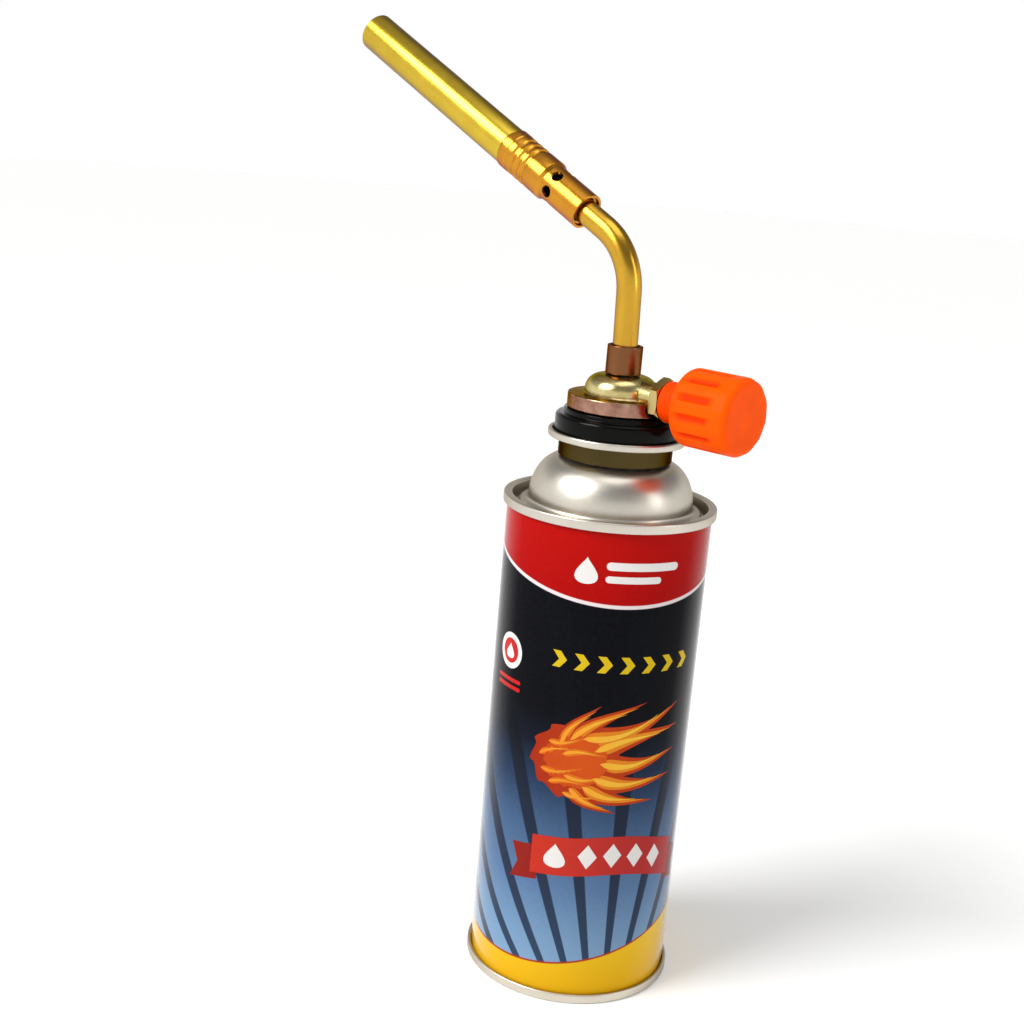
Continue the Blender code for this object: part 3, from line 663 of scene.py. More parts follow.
TINPLATE = metal("tinplate_satin", srgb(206, 200, 188), 0.34, (0.62, 0.58, 0.52),
                 grain=(0.25, 0.25, 3.0), grain_scale=0.9, patch=0.05, bump=0.02)
TINPLATE_CAD = metal("tinplate_inner", srgb(200, 194, 182), 0.34, (0.80, 0.76, 0.70),
                     from_world=True, patch=0.06)
# The dark olive and brown specular tints of polished_brass, bent_brass and amber_brass paint shade
# into their grazing edges.
GOLD = metal("polished_brass", srgb(214, 180, 42), 0.24, (0.16, 0.11, 0.01), patch=0.06,
             grain=(1.6, 1.6, 0.03), bump=0.006, stain=srgb(150, 118, 30), coat=0.55)
NECK_GOLD = metal("bent_brass", srgb(206, 158, 38), 0.24, (0.18, 0.10, 0.01), patch=0.08,
                  grain=(1.6, 1.6, 0.03), bump=0.006, stain=srgb(150, 100, 20), coat=0.45)
AMBER = metal("amber_brass", srgb(208, 140, 22), 0.22, (0.32, 0.10, 0.01), patch=0.08,
              grain=(0.3, 0.3, 3.0), grain_scale=1.4, bump=0.01, stain=srgb(140, 60, 8),
              coat=0.45)
PALE = metal("pale_brass", srgb(196, 176, 116), 0.24, (0.40, 0.30, 0.14), patch=0.08,
             grain=(0.3, 0.3, 3.0), grain_scale=1.2, bump=0.03, stain=srgb(150, 122, 80))
COPPER = metal("brown_brass", srgb(128, 84, 54), 0.27, (0.30, 0.22, 0.12), patch=0.14,
               grain=(0.3, 0.3, 3.0), grain_scale=1.2, bump=0.04, stain=srgb(84, 40, 30))
BRASS_CAD = metal("plain_brass", srgb(206, 172, 84), 0.26, (0.6, 0.45, 0.15), from_world=True)
BRONZE = metal("sintered_bronze", srgb(150, 104, 60), 0.55, (0.7, 0.5, 0.3), from_world=True,
               grain=(1.0, 1.0, 1.0), grain_scale=4.0, bump=0.5, speck=0.35)
STEEL = metal("zinc_steel", srgb(178, 180, 184), 0.30, (0.8, 0.8, 0.8), from_world=True)
# Dark olive-brown tin for the skirt under the bayonet flange: painted shade under the flange.
SKIRT_PAINTED_SHADE = metal("collar_skirt_painted_shade", srgb(76, 64, 36), 0.30, (0.30, 0.24, 0.12),
              grain=(0.25, 0.25, 3.0), grain_scale=0.9, patch=0.10, bump=0.02)
BLACK = plastic("black_plastic", srgb(6, 6, 5), 0.16, ior=1.2, grain=0.02)
KNOB_ORANGE = (1.0, 0.090, 0.0)
# Deeper red that paints shade into the knob's flutes and at its hub end.
KNOB_PAINTED_SHADE_RED = (0.74, 0.022, 0.0)
RUBBER = plastic("black_rubber", srgb(26, 26, 26), 0.72, from_world=True, grain=0.2)
WHITE = plastic("white_plastic", srgb(226, 224, 214), 0.42, from_world=True)


def body_with_painted_disc_reflection():
    """Valve body: pale brass dome over a base disc coloured a darker brown-pink, which is a
    painted reflection of dark surroundings.
    """
    g = Graph("valve_body_brass")
    where = g.place()
    _, _, height = g.split(where)
    lines = g.noise(where, 1.3, 4.0, 0.6, (0.3, 0.3, 3.0))
    marks = g.noise(where, 0.16, 5.0, 0.65)
    ragged = g.math("ADD", height, g.level(marks, 0.3, 0.7, -0.5, 0.5))
    low = g.level(ragged, 195.3, 196.9, 1.0, 0.0)
    pale = g.mix(g.level(marks, 0.36, 0.64, 0.0, 1.0), srgb(188, 170, 104), srgb(214, 200, 146))
    # Darker brown-pink on the base disc: painted reflection of dark surroundings.
    disc_painted_reflection = g.mix(g.level(marks, 0.36, 0.64, 0.0, 1.0), srgb(126, 82, 68), srgb(170, 130, 112))
    g.set(Base_Color=g.mix(low, pale, disc_painted_reflection), Metallic=1.0,
          Roughness=g.math("ADD", g.level(lines, 0.3, 0.7, 0.18, 0.27),
                           g.level(marks, 0.45, 0.75, 0.0, 0.08)))
    # Dark specular tint: painted shade at the grazing edges.
    g.shader.inputs["Specular Tint"].default_value = (0.36, 0.28, 0.12, 1.0)
    g.bump(lines, 0.03, METAL_GRAIN_M)
    return g.material


def knob_plastic():
    """Moulded orange plastic, mixed towards a deeper red as painted shade in the flutes and at the
    hub end.
    """
    g = Graph("orange_plastic")
    x, y, z = g.split(g.place())
    flow = g.noise(g.place(), 0.09, 3.0, 0.5)
    rub = g.noise(g.place(), 0.35, 4.0, 0.6)
    reach = g.math("SQRT", g.math("ADD", g.math("MULTIPLY", x, x), g.math("MULTIPLY", y, y)))
    # Painted shade: the flutes, and the hub end next to the nut, are mixed towards a deeper red.
    flute_shade = g.math("MULTIPLY", g.level(reach, 11.1, 12.1, 0.85, 0.0),
                  g.level(z, 28.4, 31.0, 0.0, 1.0))
    flute_shade = g.math("MULTIPLY", flute_shade, g.level(z, 40.0, 43.4, 1.0, 0.0))
    hub_shade = g.level(z, 24.0, 30.0, 0.55, 0.0)
    base = g.mix(g.level(flow, 0.35, 0.65, 0.0, 1.0), shade(KNOB_ORANGE, 0.88), KNOB_ORANGE)
    base = g.mix(g.math("MAXIMUM", flute_shade, hub_shade), base, KNOB_PAINTED_SHADE_RED)
    g.set(Base_Color=base, Roughness=g.level(rub, 0.35, 0.7, 0.36, 0.50))
    g.shader.inputs["IOR"].default_value = 1.12
    g.bump(g.noise(g.place(), 7.0, 2.0, 0.5), 0.03, PLASTIC_GRAIN_M)
    return g.material


# ---- cartridge pieces

def build_cartridge():
    """Printed wall, rolled seams, concave base, dome and the bayonet collar."""
    inside = CAN_R - SHEET
    turned("can_wall", soften([
        (CAN_R, 1.1), (CAN_R, 161.2), (inside, 161.2), (inside, 1.1),
    ], 0.1, 2), UPRIGHT, "cartridge", ["can_body"], [label_material()])

    hook = CAN_R + 0.12
    chuck = inside - 0.3
    wall = chuck - SHEET
    turned("bottom_seam_and_base", (
        [(0.0, 9.0)] + arc((0.0, 4.0), (wall, 5.0), 86.0, 0.0, 22)
        + soften([(wall, 3.8), (wall, 0.0), (SEAM_R, 0.0), (SEAM_R, SEAM_H), (hook, SEAM_H),
                  (hook, 0.8), (chuck, 0.8), (chuck, 4.0)], 0.75, 6, closed=False)
        + arc((0.0, 4.6), (chuck, 5.0), 0.0, 86.0, 22) + [(0.0, 9.6)]
    ), UPRIGHT, "cartridge", ["can_bottom"], [TINPLATE], closed=False)

    neck_in = NECK_R - SHEET
    low = SEAM_TOP - SEAM_H
    upper = soften(
        [(neck_in, NECK_TOP), (NECK_R, NECK_TOP), (NECK_R, DOME_TOP + 0.1)]
        + arc((NECK_R, DOME_FOOT), (DOME_R - NECK_R, DOME_TOP - DOME_FOOT), 82.0, 0.0, 26)
        + arc((DOME_R + 1.6, DOME_FOOT), (1.6, 1.5), 180.0, 270.0, 8)[1:]
        + arc((28.6, 159.3), (0.9, 1.0), 90.0, 0.0, 5)
        + [(29.7, 157.6), (30.4, 157.0), (31.2, 157.1), (wall, 157.7)]
        + [(wall, SEAM_TOP), (SEAM_R, SEAM_TOP), (SEAM_R, low), (hook, low)]
        + [(hook, SEAM_TOP - 0.8), (chuck, SEAM_TOP - 0.8), (chuck, 157.2)]
        + [(31.3, 156.4), (30.2, 156.4), (29.1, 157.3), (28.8, 159.3), (28.0, 159.7)]
        + arc((DOME_R + 1.6, DOME_FOOT), (2.2, 2.1), 262.0, 180.0, 6)
        + arc((NECK_R, DOME_FOOT), (DOME_R - NECK_R - SHEET, DOME_TOP - DOME_FOOT - SHEET),
              6.0, 84.0, 20)
        + [(neck_in, DOME_TOP - 0.7)], 0.6, 5)
    turned("top_seam_and_dome", upper, UPRIGHT, "cartridge", ["can_top_dome"], [TINPLATE])

    plate_low, plate_high = 181.7, 182.5
    collar = turned_bmesh(soften([
        (15.5, plate_low), (17.6, plate_low), (17.6, 175.9), (18.3, 175.9), (18.3, plate_low),
        (COLLAR_R, plate_low), (COLLAR_R, COLLAR_TOP), (COLLAR_R - 1.4, COLLAR_TOP),
        (COLLAR_R - 1.4, plate_high), (15.5, plate_high),
    ], 0.62, 5))
    half_slot = 17.5
    slots = [sector_bmesh(HEAD_AZIMUTH + 60.0 + 120.0 * i, half_slot, 14.5, 17.55, 181.0, 183.2)
             for i in range(3)]
    notch = bmesh.new()
    place = (Matrix.Rotation(math.radians(-14.0), 4, "Z")
             @ Matrix.Translation((0.0, COLLAR_R, 183.0)) @ Matrix.Diagonal((5.0, 4.4, 6.0, 1.0)))
    bmesh.ops.create_cube(notch, size=1.0, matrix=place)
    flange = add_piece("bayonet_flange", cut(collar, slots + [notch]), UPRIGHT, "cartridge",
                       ["bayonet_collar"], [TINPLATE, SKIRT_PAINTED_SHADE], sharp=30.0)
    # The skirt faces under the flange take the dark finish, which is painted shade.
    skirt_r = 18.9
    for face in flange.data.polygons:
        x, y, z = face.center / MM
        if math.hypot(x, y) < skirt_r and z < plate_low + 0.1:
            face.material_index = 1


def build_valve_spring():
    """The coil under the cartridge's valve stem, built at its rest length; the real coil shortens
    as the stem is pressed.
    """
    low, high, pressed = 164.3, 175.0, 174.15
    turns, per_turn, sides, coil_r, wire_r = 6, 30, 10, 2.5, 0.26
    slope = (high - low) / (turns * math.tau * coil_r)
    bm = bmesh.new()
    rows = []
    for i in range(turns * per_turn + 1):
        a = math.tau * i / per_turn
        out = Vector((math.cos(a), math.sin(a), 0.0))
        ahead = Vector((-math.sin(a), math.cos(a), slope)).normalized()
        side = ahead.cross(out)
        centre = out * coil_r + Vector((0.0, 0.0, low + (high - low) * i / (turns * per_turn)))
        rows.append([bm.verts.new(centre + (out * math.cos(t) + side * math.sin(t)) * wire_r)
                     for t in (math.tau * k / sides for k in range(sides))])
    for first, second in zip(rows, rows[1:]):
        bridge(bm, first, second)
    bm.faces.new(rows[0][::-1])
    bm.faces.new(rows[-1])
    coil = add_piece("valve_spring_coil", bm, UPRIGHT, "cartridge", ["cartridge_valve_spring"],
                     [STEEL])
    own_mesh(coil)


def build_label_art():
    """Generic art: a fireball with swept tongues, a blank banner, a ring seal and plain marks."""
    deep = ink_material("ink_flame_red", srgb(150, 20, 6), srgb(196, 66, 16), (1.0, 0.3),
                        (-24, 40))
    shadow = ink_material("ink_flame_shadow", srgb(170, 34, 6), srgb(214, 84, 18), (1.0, 0.3),
                          (-24, 20))
    warm = ink_material("ink_flame_orange", srgb(206, 70, 14), srgb(240, 150, 34), (1.0, 0.2),
                        (-20, 34))
    hot = ink_material("ink_flame_yellow", srgb(238, 120, 24), srgb(255, 212, 70), (1.0, 0.2),
                       (-10, 34))
    banner = ink_material("ink_banner", srgb(206, 50, 26), srgb(178, 46, 52), (1.0, 0.0),
                          (-30, 34), streak=0.1)
    fold = ink_material("ink_banner_fold", srgb(150, 30, 22), srgb(132, 28, 30), (1.0, 0.0),
                        (-30, 34))
    cream = ink_material("ink_cream", srgb(232, 226, 222), srgb(244, 240, 236), streak=0.1)
    gold = ink_material("ink_yellow", srgb(236, 204, 40), srgb(224, 190, 24), streak=0.1)
    red = ink_material("ink_red", srgb(186, 14, 16), srgb(206, 30, 26), streak=0.1)

    tongues = [
        ((-15, 89), (-3, 103.5), 3.0, 2.0), ((-12, 91), (12, 104.5), 3.4, 2.2),
        ((-8, 92), (26, 103.0), 4.6, -2.6), ((-4, 88), (27, 95.0), 4.6, 2.0),
        ((-2, 84), (26, 87.0), 4.6, -2.2), ((-4, 79), (25, 78.5), 4.4, -2.2),
        ((-7, 76), (18, 70.5), 4.0, -2.0), ((-11, 75), (5, 67.0), 3.2, -1.6),
    ]
    head = []
    teeth = 22
    for k in range(teeth):
        odd = k % 2
        a = math.tau * (k + 0.45 * odd) / teeth
        reach = 1.0 if odd else 0.91
        head.append((-10.0 + 15.2 * reach * math.cos(a), 84.0 + 13.2 * reach * math.sin(a)))
    centre = Vector((-9.0, 84.0))
    licks = [
        ((-22, 84.5), (-7, 89.0), 2.3, 1.3), ((-21, 80), (-5, 82.5), 2.3, -1.4),
        ((-18, 76), (-3, 76.5), 2.2, 1.2), ((-19, 89.5), (-5, 93.0), 2.2, -1.3),
        ((-13, 73.2), (1, 72.5), 1.9, -1.1), ((-14, 86), (2, 86.5), 2.4, 1.5),
        ((-13, 79), (3, 79.5), 2.4, -1.4),
    ]
    for layer, (ink, width, reach, size) in enumerate((
            (deep, 1.0, 1.0, 1.0), (warm, 0.62, 0.88, 0.70), (hot, 0.30, 0.74, 0.0))):
        blades = tongues + (licks if layer else [])
        for i, (root, tip, wide, sway) in enumerate(blades):
            end = Vector(root) + (Vector(tip) - Vector(root)) * reach
            patch("flame_%d_tongue_%d" % (layer + 1, i + 1),
                  [tongue(root, end, wide * width, sway)],
                  ink, INK_LIFT + 0.04 * layer + 0.002 * i)
        if size:
            core = [tuple(centre + (Vector(p) - centre) * size) for p in head]
            patch("flame_%d_core" % (layer + 1), [curve_through(core)],
                  shadow if layer else ink, INK_LIFT + 0.032 * (layer + 1) - 0.006)

    def banner_edge(u, base):
        """Height of the waving cloth at u."""
        return base - 0.005 * u * u + 0.5 * math.sin(u * 0.16)

    us = list(np.linspace(-21.5, 31.0, 40))
    outline = [(u, banner_edge(u, 58.8)) for u in us]
    outline += [(u, banner_edge(u, 45.5)) for u in reversed(us)]
    patch("banner_cloth", [outline], banner, INK_LIFT + 0.03)
    left = [(-19.0, 53.4), (-19.0, 41.4), (-29.0, 39.6), (-26.4, 45.6), (-29.0, 51.8)]
    right = [(28.5, 52.0), (28.5, 39.6), (38.0, 36.2), (35.6, 42.2), (38.0, 48.2)]
    patch("banner_tail_left", [left], fold, INK_LIFT)
    patch("banner_tail_right", [right], fold, INK_LIFT)
    patch("banner_drop", [drop(-13.5, banner_edge(-13.5, 52.4), 8.4)], cream, INK_LIFT + 0.07)
    lozenges = []
    for i in range(4):
        u = -3.0 + 8.2 * i
        v = banner_edge(u, 52.2)
        lozenges.append([(u - 3.1, v), (u, v + 4.2), (u + 3.1, v), (u, v - 4.2)])
    patch("banner_lozenges", lozenges, cream, INK_LIFT + 0.07)

    patch("cap_band_drop", [drop(-12.0, 146.6, 8.6)], cream)
    patch("cap_band_bars", [bar(6.0, 148.6, 24.0, 2.6), bar(3.0, 144.4, 18.0, 2.2)], cream)
    chevrons = []
    for i in range(7):
        u = -18.0 + 7.2 * i
        chevrons.append([(u - 2.2, 119.6), (u + 0.4, 119.6), (u + 2.6, 116.9), (u + 0.4, 114.2),
                         (u - 2.2, 114.2), (u, 116.9)])
    patch("field_chevrons", chevrons, gold)

    seal_u, seal_v = -38.0, 114.0
    patch("seal_disc", [circle(seal_u, seal_v, 5.9)], cream)
    patch("seal_centre", [circle(seal_u, seal_v, 4.1)], red, INK_LIFT + 0.03)
    patch("seal_drop", [drop(seal_u, seal_v, 5.0)], cream, INK_LIFT + 0.06)
    patch("seal_bars", [bar(seal_u, v, 12.5, 1.3) for v in (104.6, 102.2)], red)


# ---- torch head pieces

def nut_relief():
    """Cutter that makes room for the gland nut's corners."""
    return cylinder_bmesh(NUT_RELIEF_R, BOSS_END, 26.0, 96, KNOB_AXIS)


def screw_holes():
    """Cutters for the coupling screws."""
    tools = []
    for i in range(SCREW_COUNT):
        a = math.radians(HEAD_AZIMUTH + 360.0 / SCREW_COUNT * i)
        at = Matrix.Translation((SCREW_CIRCLE_R * math.cos(a), SCREW_CIRCLE_R * math.sin(a), 0.0))
        tools.append(cylinder_bmesh(SCREW_HOLE_R, SCREW_LOW, SCREW_HIGH, 32, at))
    return tools


def build_coupling():
    """The black moulded ring under the valve body."""
    ring = turned_bmesh(soften(
        [(7.9, 181.4), (15.0, 181.4), (15.0, 182.8), (20.15, 182.8), (20.15, 188.0)]
        + arc((18.75, 188.0), (1.4, 1.4), 12.0, 90.0, 8)
        + [(17.8, 189.45), (17.6, 189.7), (17.6, 191.0)]
        + [(7.9, 191.0), (7.9, 189.2), (4.9, 189.2), (4.9, 182.6), (7.9, 182.6)], 0.35, 4))
    tools = screw_holes() + [nut_relief()]
    add_piece("coupling_moulding", cut(ring, tools), UPRIGHT, "torch_head", ["coupling_ring"],
              [BLACK], sharp=30.0)


def build_valve_body():
    """Base disc, dome and side boss in one casting, then the gland nut and the ferrule."""
    body = turned_bmesh(
        [(0.0, 192.8), (7.5, 192.8), (7.5, 191.3)]
        + soften([(7.5, 191.3), (16.8, 191.3), (16.8, 195.9), (12.1, 195.95), (11.6, 196.5)],
                 0.55, 6, closed=False)[1:]
        + arc((6.6, 197.4), (5.0, 5.0), 0.0, 90.0, 24) + [(0.0, 202.4)], closed=False)
    boss = turned_bmesh([(0.0, 8.5), (5.0, 8.5), (5.0, 16.4), (0.0, 16.4)], 96, closed=False)
    boss.transform(KNOB_AXIS)
    body = cut(body, [boss], "UNION")
    side = math.radians(HEAD_AZIMUTH + 180.0)
    duct = Matrix.Translation((6.4 * math.cos(side), 6.4 * math.sin(side), 0.0))
    tools = [nut_relief(),
             cylinder_bmesh(4.3, 11.6, 22.0, 64, KNOB_AXIS),
             cylinder_bmesh(3.0, 5.4, 22.0, 48, KNOB_AXIS),
             cylinder_bmesh(0.9, 0.0, 6.0, 24, KNOB_AXIS),
             cylinder_bmesh(1.5, 195.6, 206.0, 32, UPRIGHT),
             cylinder_bmesh(0.9, 192.0, 195.0, 24, duct)]
    tools += screw_holes()
    add_piece("valve_body_casting", cut(body, tools), UPRIGHT, "torch_head", ["valve_body"],
              [body_with_painted_disc_reflection()], sharp=30.0)

    nut = turned_bmesh(
        [(2.4, 16.4), (3.0, 16.4), (3.0, 12.2), (3.2, 11.9), (3.8, 11.9), (4.0, 12.1), (4.0, 15.6),
         (6.5, 15.6), (NUT_R, 16.1), (NUT_R, 18.3), (6.5, 18.8), (3.6, 18.8), (3.3, 18.5),
         (2.4, 18.5)])
    hexagon = cylinder_bmesh(NUT_R, 10.0, 20.0, 6, Matrix.Rotation(math.radians(30.0), 4, "Z"))
    add_piece("hex_gland_nut", cut(nut, [hexagon], "INTERSECT"), KNOB_AXIS, "torch_head",
              ["packing_nut"], [PALE], sharp=24.0)

    turned("ferrule", soften([
        (4.5, NECK_FOOT), (5.65, NECK_FOOT), (5.65, 211.8), (4.5, 211.8),
    ], 0.38, 5), UPRIGHT, "torch_head", ["neck_ferrule"], [COPPER])


def build_neck():
    """The neck: a straight foot, a bend of one radius, and a straight run along the burner."""
    outer, inner, radius, tip = 4.0, 2.6, 22.0, 28.5
    bend_steps, tip_steps, sides = 40, 6, 72
    swing = 90.0 - BURNER_RISE - NECK_LEAN
    tangent = radius * math.tan(math.radians(swing / 2))
    lean = math.tan(math.radians(NECK_LEAN))
    slope = math.tan(math.radians(BURNER_RISE))
    corner = lean * (BURNER_Z - NECK_PIVOT) / (1.0 - lean * slope)
    out = lean * (NECK_FOOT - NECK_PIVOT)
    first = (corner - out) / math.sin(math.radians(NECK_LEAN)) - tangent
    last = tip - corner / math.cos(math.radians(BURNER_RISE)) - tangent
    # Each station: the centre, the angle turned so far and the length along the tube.
    line = [((0.0, 0.0, z), 0.0, z) for z in np.linspace(0.0, first, 8)]
    length = math.radians(swing) * radius
    for k in range(1, bend_steps + 1):
        a = math.radians(swing * k / bend_steps)
        line.append(((-radius + radius * math.cos(a), 0.0, first + radius * math.sin(a)), a,
                     first + radius * a))
    end, a = line[-1][0], math.radians(swing)
    for k in range(1, tip_steps + 1):
        run = last * k / tip_steps
        line.append(((end[0] - run * math.sin(a), 0.0, end[2] + run * math.cos(a)), a,
                     first + length + run))
    bm = bmesh.new()
    walls = []
    for r in (outer, inner):
        rows = []
        for centre, a, _ in line:
            ahead = Vector((math.cos(a), 0.0, math.sin(a)))
            row = []
            for k in range(sides):
                t = math.tau * k / sides
                p = Vector(centre) + ahead * (r * math.cos(t)) + Vector((0, r * math.sin(t), 0))
                row.append(bm.verts.new(p))
            rows.append(row)
        walls.append(rows)
        for low_row, high_row in zip(rows, rows[1:]):
            bridge(bm, low_row, high_row)
    for i in (0, -1):
        bridge(bm, walls[0][i], walls[1][i])
    foot = axis_frame(NECK_FOOT, HEAD_AZIMUTH + 180.0, 90.0 + NECK_LEAN, -out)
    neck = add_piece("bent_neck", bm, foot, "torch_head", ["neck_tube"], [NECK_GOLD])
    # The tool lines follow the tube: angle round the tube and length along it.
    local = []
    for r in (outer, inner):
        for _, _, along in line:
            for k in range(sides):
                t = math.tau * k / sides
                local += [r * math.cos(t), r * math.sin(t), along]
    neck.data.attributes["place"].data.foreach_set("vector", local)


def build_burner():
    """The grooved mixer sleeve with its ring of air holes, and the flame tube ahead of it."""
    ridge_r, groove_r = 6.8, 6.15
    grooves = []
    for centre in (48.7, 51.6, 54.5):
        grooves += [(ridge_r, centre - 0.95), (groove_r, centre - 0.45),
                    (groove_r, centre + 0.45), (ridge_r, centre + 0.95)]
    sleeve = turned_bmesh(soften(
        [(5.1, 23.2), (SLEEVE_R, 23.2), (SLEEVE_R, 40.2), (ridge_r, 41.4)] + grooves
        + [(ridge_r, 57.5), (6.9, 57.9), (6.9, 61.0), (5.6, 61.0), (5.6, 68.0), (5.0, 68.0)]
        + [(5.0, 30.0), (4.3, 29.3), (4.3, 24.8), (5.1, 24.6)], 0.28, 4))
    tools = []
    for i in range(AIR_HOLE_COUNT):
        turn = math.radians(AIR_HOLE_TURN + 360.0 / AIR_HOLE_COUNT * i)
        spin = Matrix.Translation((0, 0, AIR_HOLE_AT)) @ Matrix.Rotation(turn, 4, "Z")
        place = spin @ Matrix.Rotation(math.pi / 2, 4, "Y")
        tools.append(cylinder_bmesh(AIR_HOLE_R, 3.0, 9.0, 40, place))
    body = add_piece("mixer_sleeve_body", cut(sleeve, tools), BURNER_AXIS, "torch_head",
                     ["mixer_sleeve"], [AMBER], sharp=30.0)
    round_wall(body, BURNER_AXIS, SLEEVE_R, 23.4, 40.3)

    turned("flame_tube", soften([
        (5.95, 61.3), (6.5, 61.3), (6.5, 138.0), (5.95, 138.0),
    ], 0.22, 4), BURNER_AXIS, "torch_head", ["burner_tube"], [GOLD])


def build_knob():
    """The gas knob, with a flute and a slight flat at each of its grips."""
    grips, radius, face = 12, 12.15, 47.8
    first = math.radians(7.0)
    step = math.tau / grips
    flute_r, flute_lift = 1.70, 0.70

    def clamp(value):
        return min(1.0, max(0.0, value))

    def scallop(angle, r, z):
        if r < 10.0 or z < 27.0:
            return r
        off = ((angle - first + step / 2) % step) - step / 2
        x = off * (radius + 0.9)
        window = clamp((z - 28.0) / 3.2) * clamp((43.4 - z) / 3.4)
        window = window * window * (3 - 2 * window)
        depth = math.sqrt(max(0.0, flute_r ** 2 - x * x)) - flute_lift
        flat = 0.18 * (0.5 + 0.5 * math.cos(off * grips)) * clamp((z - 40.0) / 4.0)
        return r - max(0.0, depth) * window - flat

    wall = [(radius, z) for z in np.linspace(29.4, face - 3.0, 34)]
    inner = [(0.0, 42.0), (3.6, 42.0), (3.6, 24.2), (5.5, 24.2), (5.5, 19.1)]
    outer = (
        soften([(5.5, 19.1), (6.5, 19.1), (6.5, 24.3), (radius - 1.7, 27.0)], 1.2, 6,
               closed=False)[1:]
        + arc((radius - 1.9, 28.9), (1.9, 1.9), -62.0, 0.0, 10) + wall
        + arc((radius - 2.1, face - 2.3), (2.1, 2.3), 6.0, 90.0, 14)
        + [(8.6, face), (8.2, face - 0.02), (4.0, face - 0.12), (0.0, face - 0.15)]
    )
    turned("knob_moulding", inner + outer, KNOB_AXIS, "knob_assembly", ["gas_knob"],
           [knob_plastic()], closed=False, sides=288, shape=scallop, sharp=40.0)


# ---- carried-over CAD nodes

CAD_FINISH = {
    "cup_gasket": RUBBER, "stem_gasket": RUBBER, "coupling_seal": RUBBER, "inlet_o_ring": RUBBER,
    "spindle_o_ring": RUBBER, "valve_housing": WHITE, "cartridge_valve_stem": WHITE,
    "vapour_tube": WHITE, "valve_cup": TINPLATE_CAD,
    "bayonet_plate": STEEL, "coupling_screw_1": STEEL, "coupling_screw_2": STEEL,
    "coupling_screw_3": STEEL, "gas_spindle": STEEL, "inlet_nozzle": BRASS_CAD,
    "gas_jet": BRASS_CAD, "flame_holder": BRASS_CAD, "knob_insert": BRASS_CAD,
    "inlet_filter": BRONZE,
}


def finish_cad_nodes():
    """Gives the inner CAD nodes, which keep their shape, a finish each."""
    for name, finish in CAD_FINISH.items():
        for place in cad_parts[name].material_slots:
            place.material = finish


# ---- floor, light and camera

CAMERA_AT = (0.0, -0.4826, 0.2757)
CAMERA_YAW = -0.0648
CAMERA_PITCH = 0.2461
CAMERA_ROLL = 0.0833
CAMERA_LENS = 53.94
LIGHT_AIM = (0.0, 0.0, 0.19)
FLOOR_RADIUS_M = 6.0
FLOOR_GAP_M = 0.0001


def build_floor():
    """A pale disc just under the torch."""
    g = Graph("studio_floor")
    coords = g.node("ShaderNodeTexCoord").outputs["Object"]
    haze = g.noise(coords, 3.0, 3.0, 0.5)
    g.set(Base_Color=g.mix(haze, srgb(249, 249, 248), srgb(251, 251, 250)), Roughness=0.7,
          Emission_Color=(1.0, 1.0, 1.0), Emission_Strength=0.10)
    g.bump(g.noise(coords, 400.0, 2.0, 0.5), 0.03, 0.0002)
    bm = bmesh.new()
    bmesh.ops.create_circle(bm, cap_ends=True, radius=FLOOR_RADIUS_M, segments=96)
    mesh = mesh_from(bm, "studio_floor")
    mesh.materials.append(g.material)
    floor = new_object("studio_floor", mesh)
    floor.location.z = cad_box[0][2] - FLOOR_GAP_M


def softbox(name, direction, distance, size, power):
    """A rectangular area lamp aimed at the middle of the torch."""
    lamp = bpy.data.lights.new(name, "AREA")
    lamp.shape = "RECTANGLE"
    lamp.size, lamp.size_y = size
    lamp.energy = power
    item = new_object(name, lamp)
    target = Vector(LIGHT_AIM)
    item.location = target + Vector(direction).normalized() * distance
    item.rotation_euler = (target - item.location).to_track_quat("-Z", "Y").to_euler()


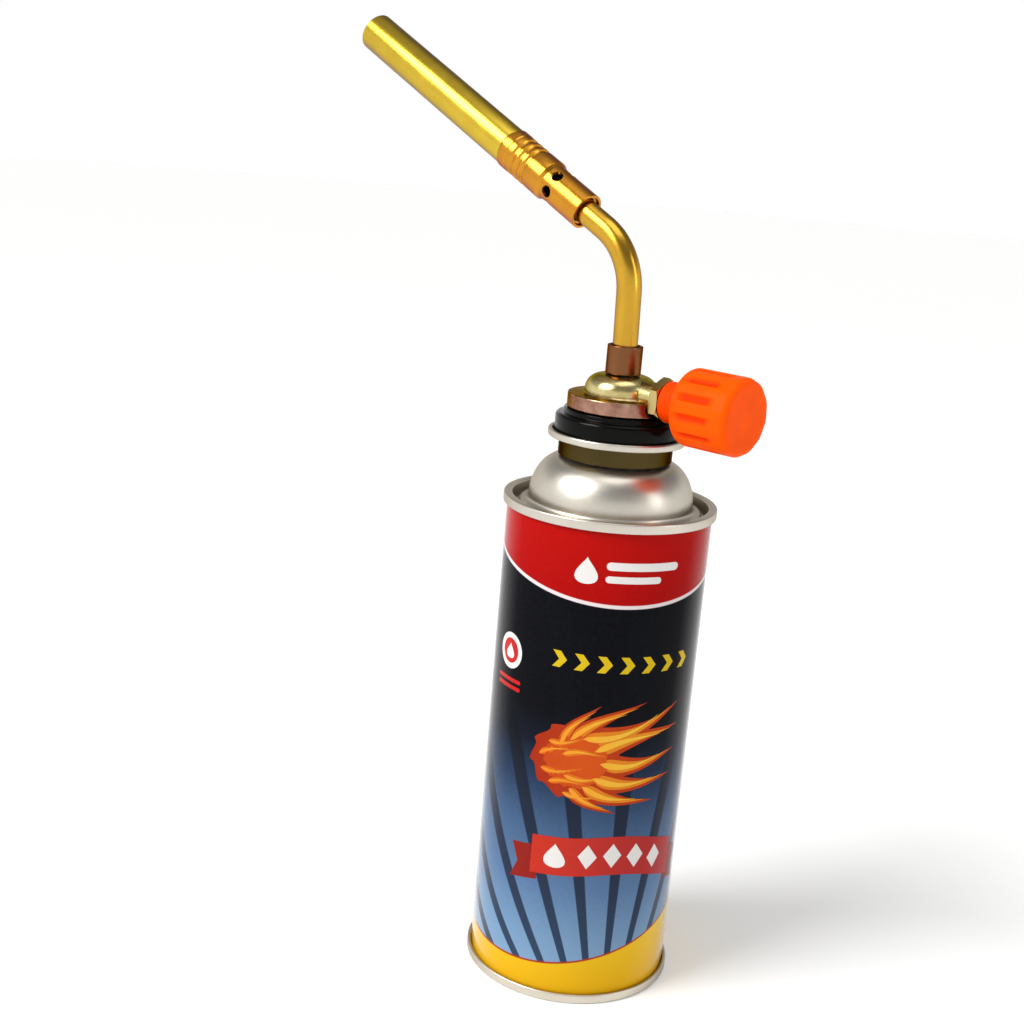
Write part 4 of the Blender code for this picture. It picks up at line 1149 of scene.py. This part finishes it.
def build_light():
    """A world that is white low down and grey above, a broad key light and two softboxes."""
    world = bpy.data.worlds.new("studio_air")
    bpy.context.scene.world = world
    world.use_nodes = True
    tree = world.node_tree
    coords = tree.nodes.new("ShaderNodeTexCoord")
    split = tree.nodes.new("ShaderNodeSeparateXYZ")
    tree.links.new(coords.outputs["Generated"], split.inputs[0])
    ramp = tree.nodes.new("ShaderNodeValToRGB")
    tree.links.new(split.outputs["Z"], ramp.inputs[0])
    stops = ((0.0, 1.0), (0.26, 1.0), (0.40, 0.32), (0.75, 0.22), (1.0, 0.45))
    fill_ramp(ramp.color_ramp, [(at, (grey,) * 3) for at, grey in stops])
    background = tree.nodes["Background"]
    tree.links.new(ramp.outputs[0], background.inputs["Color"])
    background.inputs["Strength"].default_value = 1.0
    sun = bpy.data.lights.new("key_light", "SUN")
    sun.energy = 2.9
    sun.angle = math.radians(32.0)
    key = new_object("key_light", sun)
    key.rotation_euler = Vector((0.70, 0.40, -0.66)).to_track_quat("-Z", "Y").to_euler()
    softbox("top_softbox", (0.10, -0.10, 1.0), 1.1, (0.8, 0.5), 2.5)
    softbox("side_softbox", (0.9, -0.35, 0.42), 1.2, (0.30, 0.8), 2.0)


def build_camera():
    """The camera that was fitted to the cartridge's outline."""
    yaw, pitch, roll = CAMERA_YAW, CAMERA_PITCH, CAMERA_ROLL
    ahead = Vector((math.sin(yaw) * math.cos(pitch), math.cos(yaw) * math.cos(pitch),
                    -math.sin(pitch)))
    right = Vector((math.cos(yaw), -math.sin(yaw), 0.0))
    up = right.cross(ahead)
    x = right * math.cos(roll) + up * math.sin(roll)
    y = up * math.cos(roll) - right * math.sin(roll)
    lens = bpy.data.cameras.new("photo_camera")
    lens.lens = CAMERA_LENS
    lens.sensor_width = 36.0
    lens.clip_start = 0.01
    camera = new_object("photo_camera", lens)
    turn = Matrix((x, y, -ahead)).transposed().to_4x4()
    camera.matrix_world = Matrix.Translation(CAMERA_AT) @ turn
    bpy.context.scene.camera = camera


build_camera()
build_light()
build_floor()
build_cartridge()
build_valve_spring()
build_label_art()
build_coupling()
build_valve_body()
build_neck()
build_burner()
build_knob()
finish_cad_nodes()
bpy.context.scene.view_settings.view_transform = "Standard"
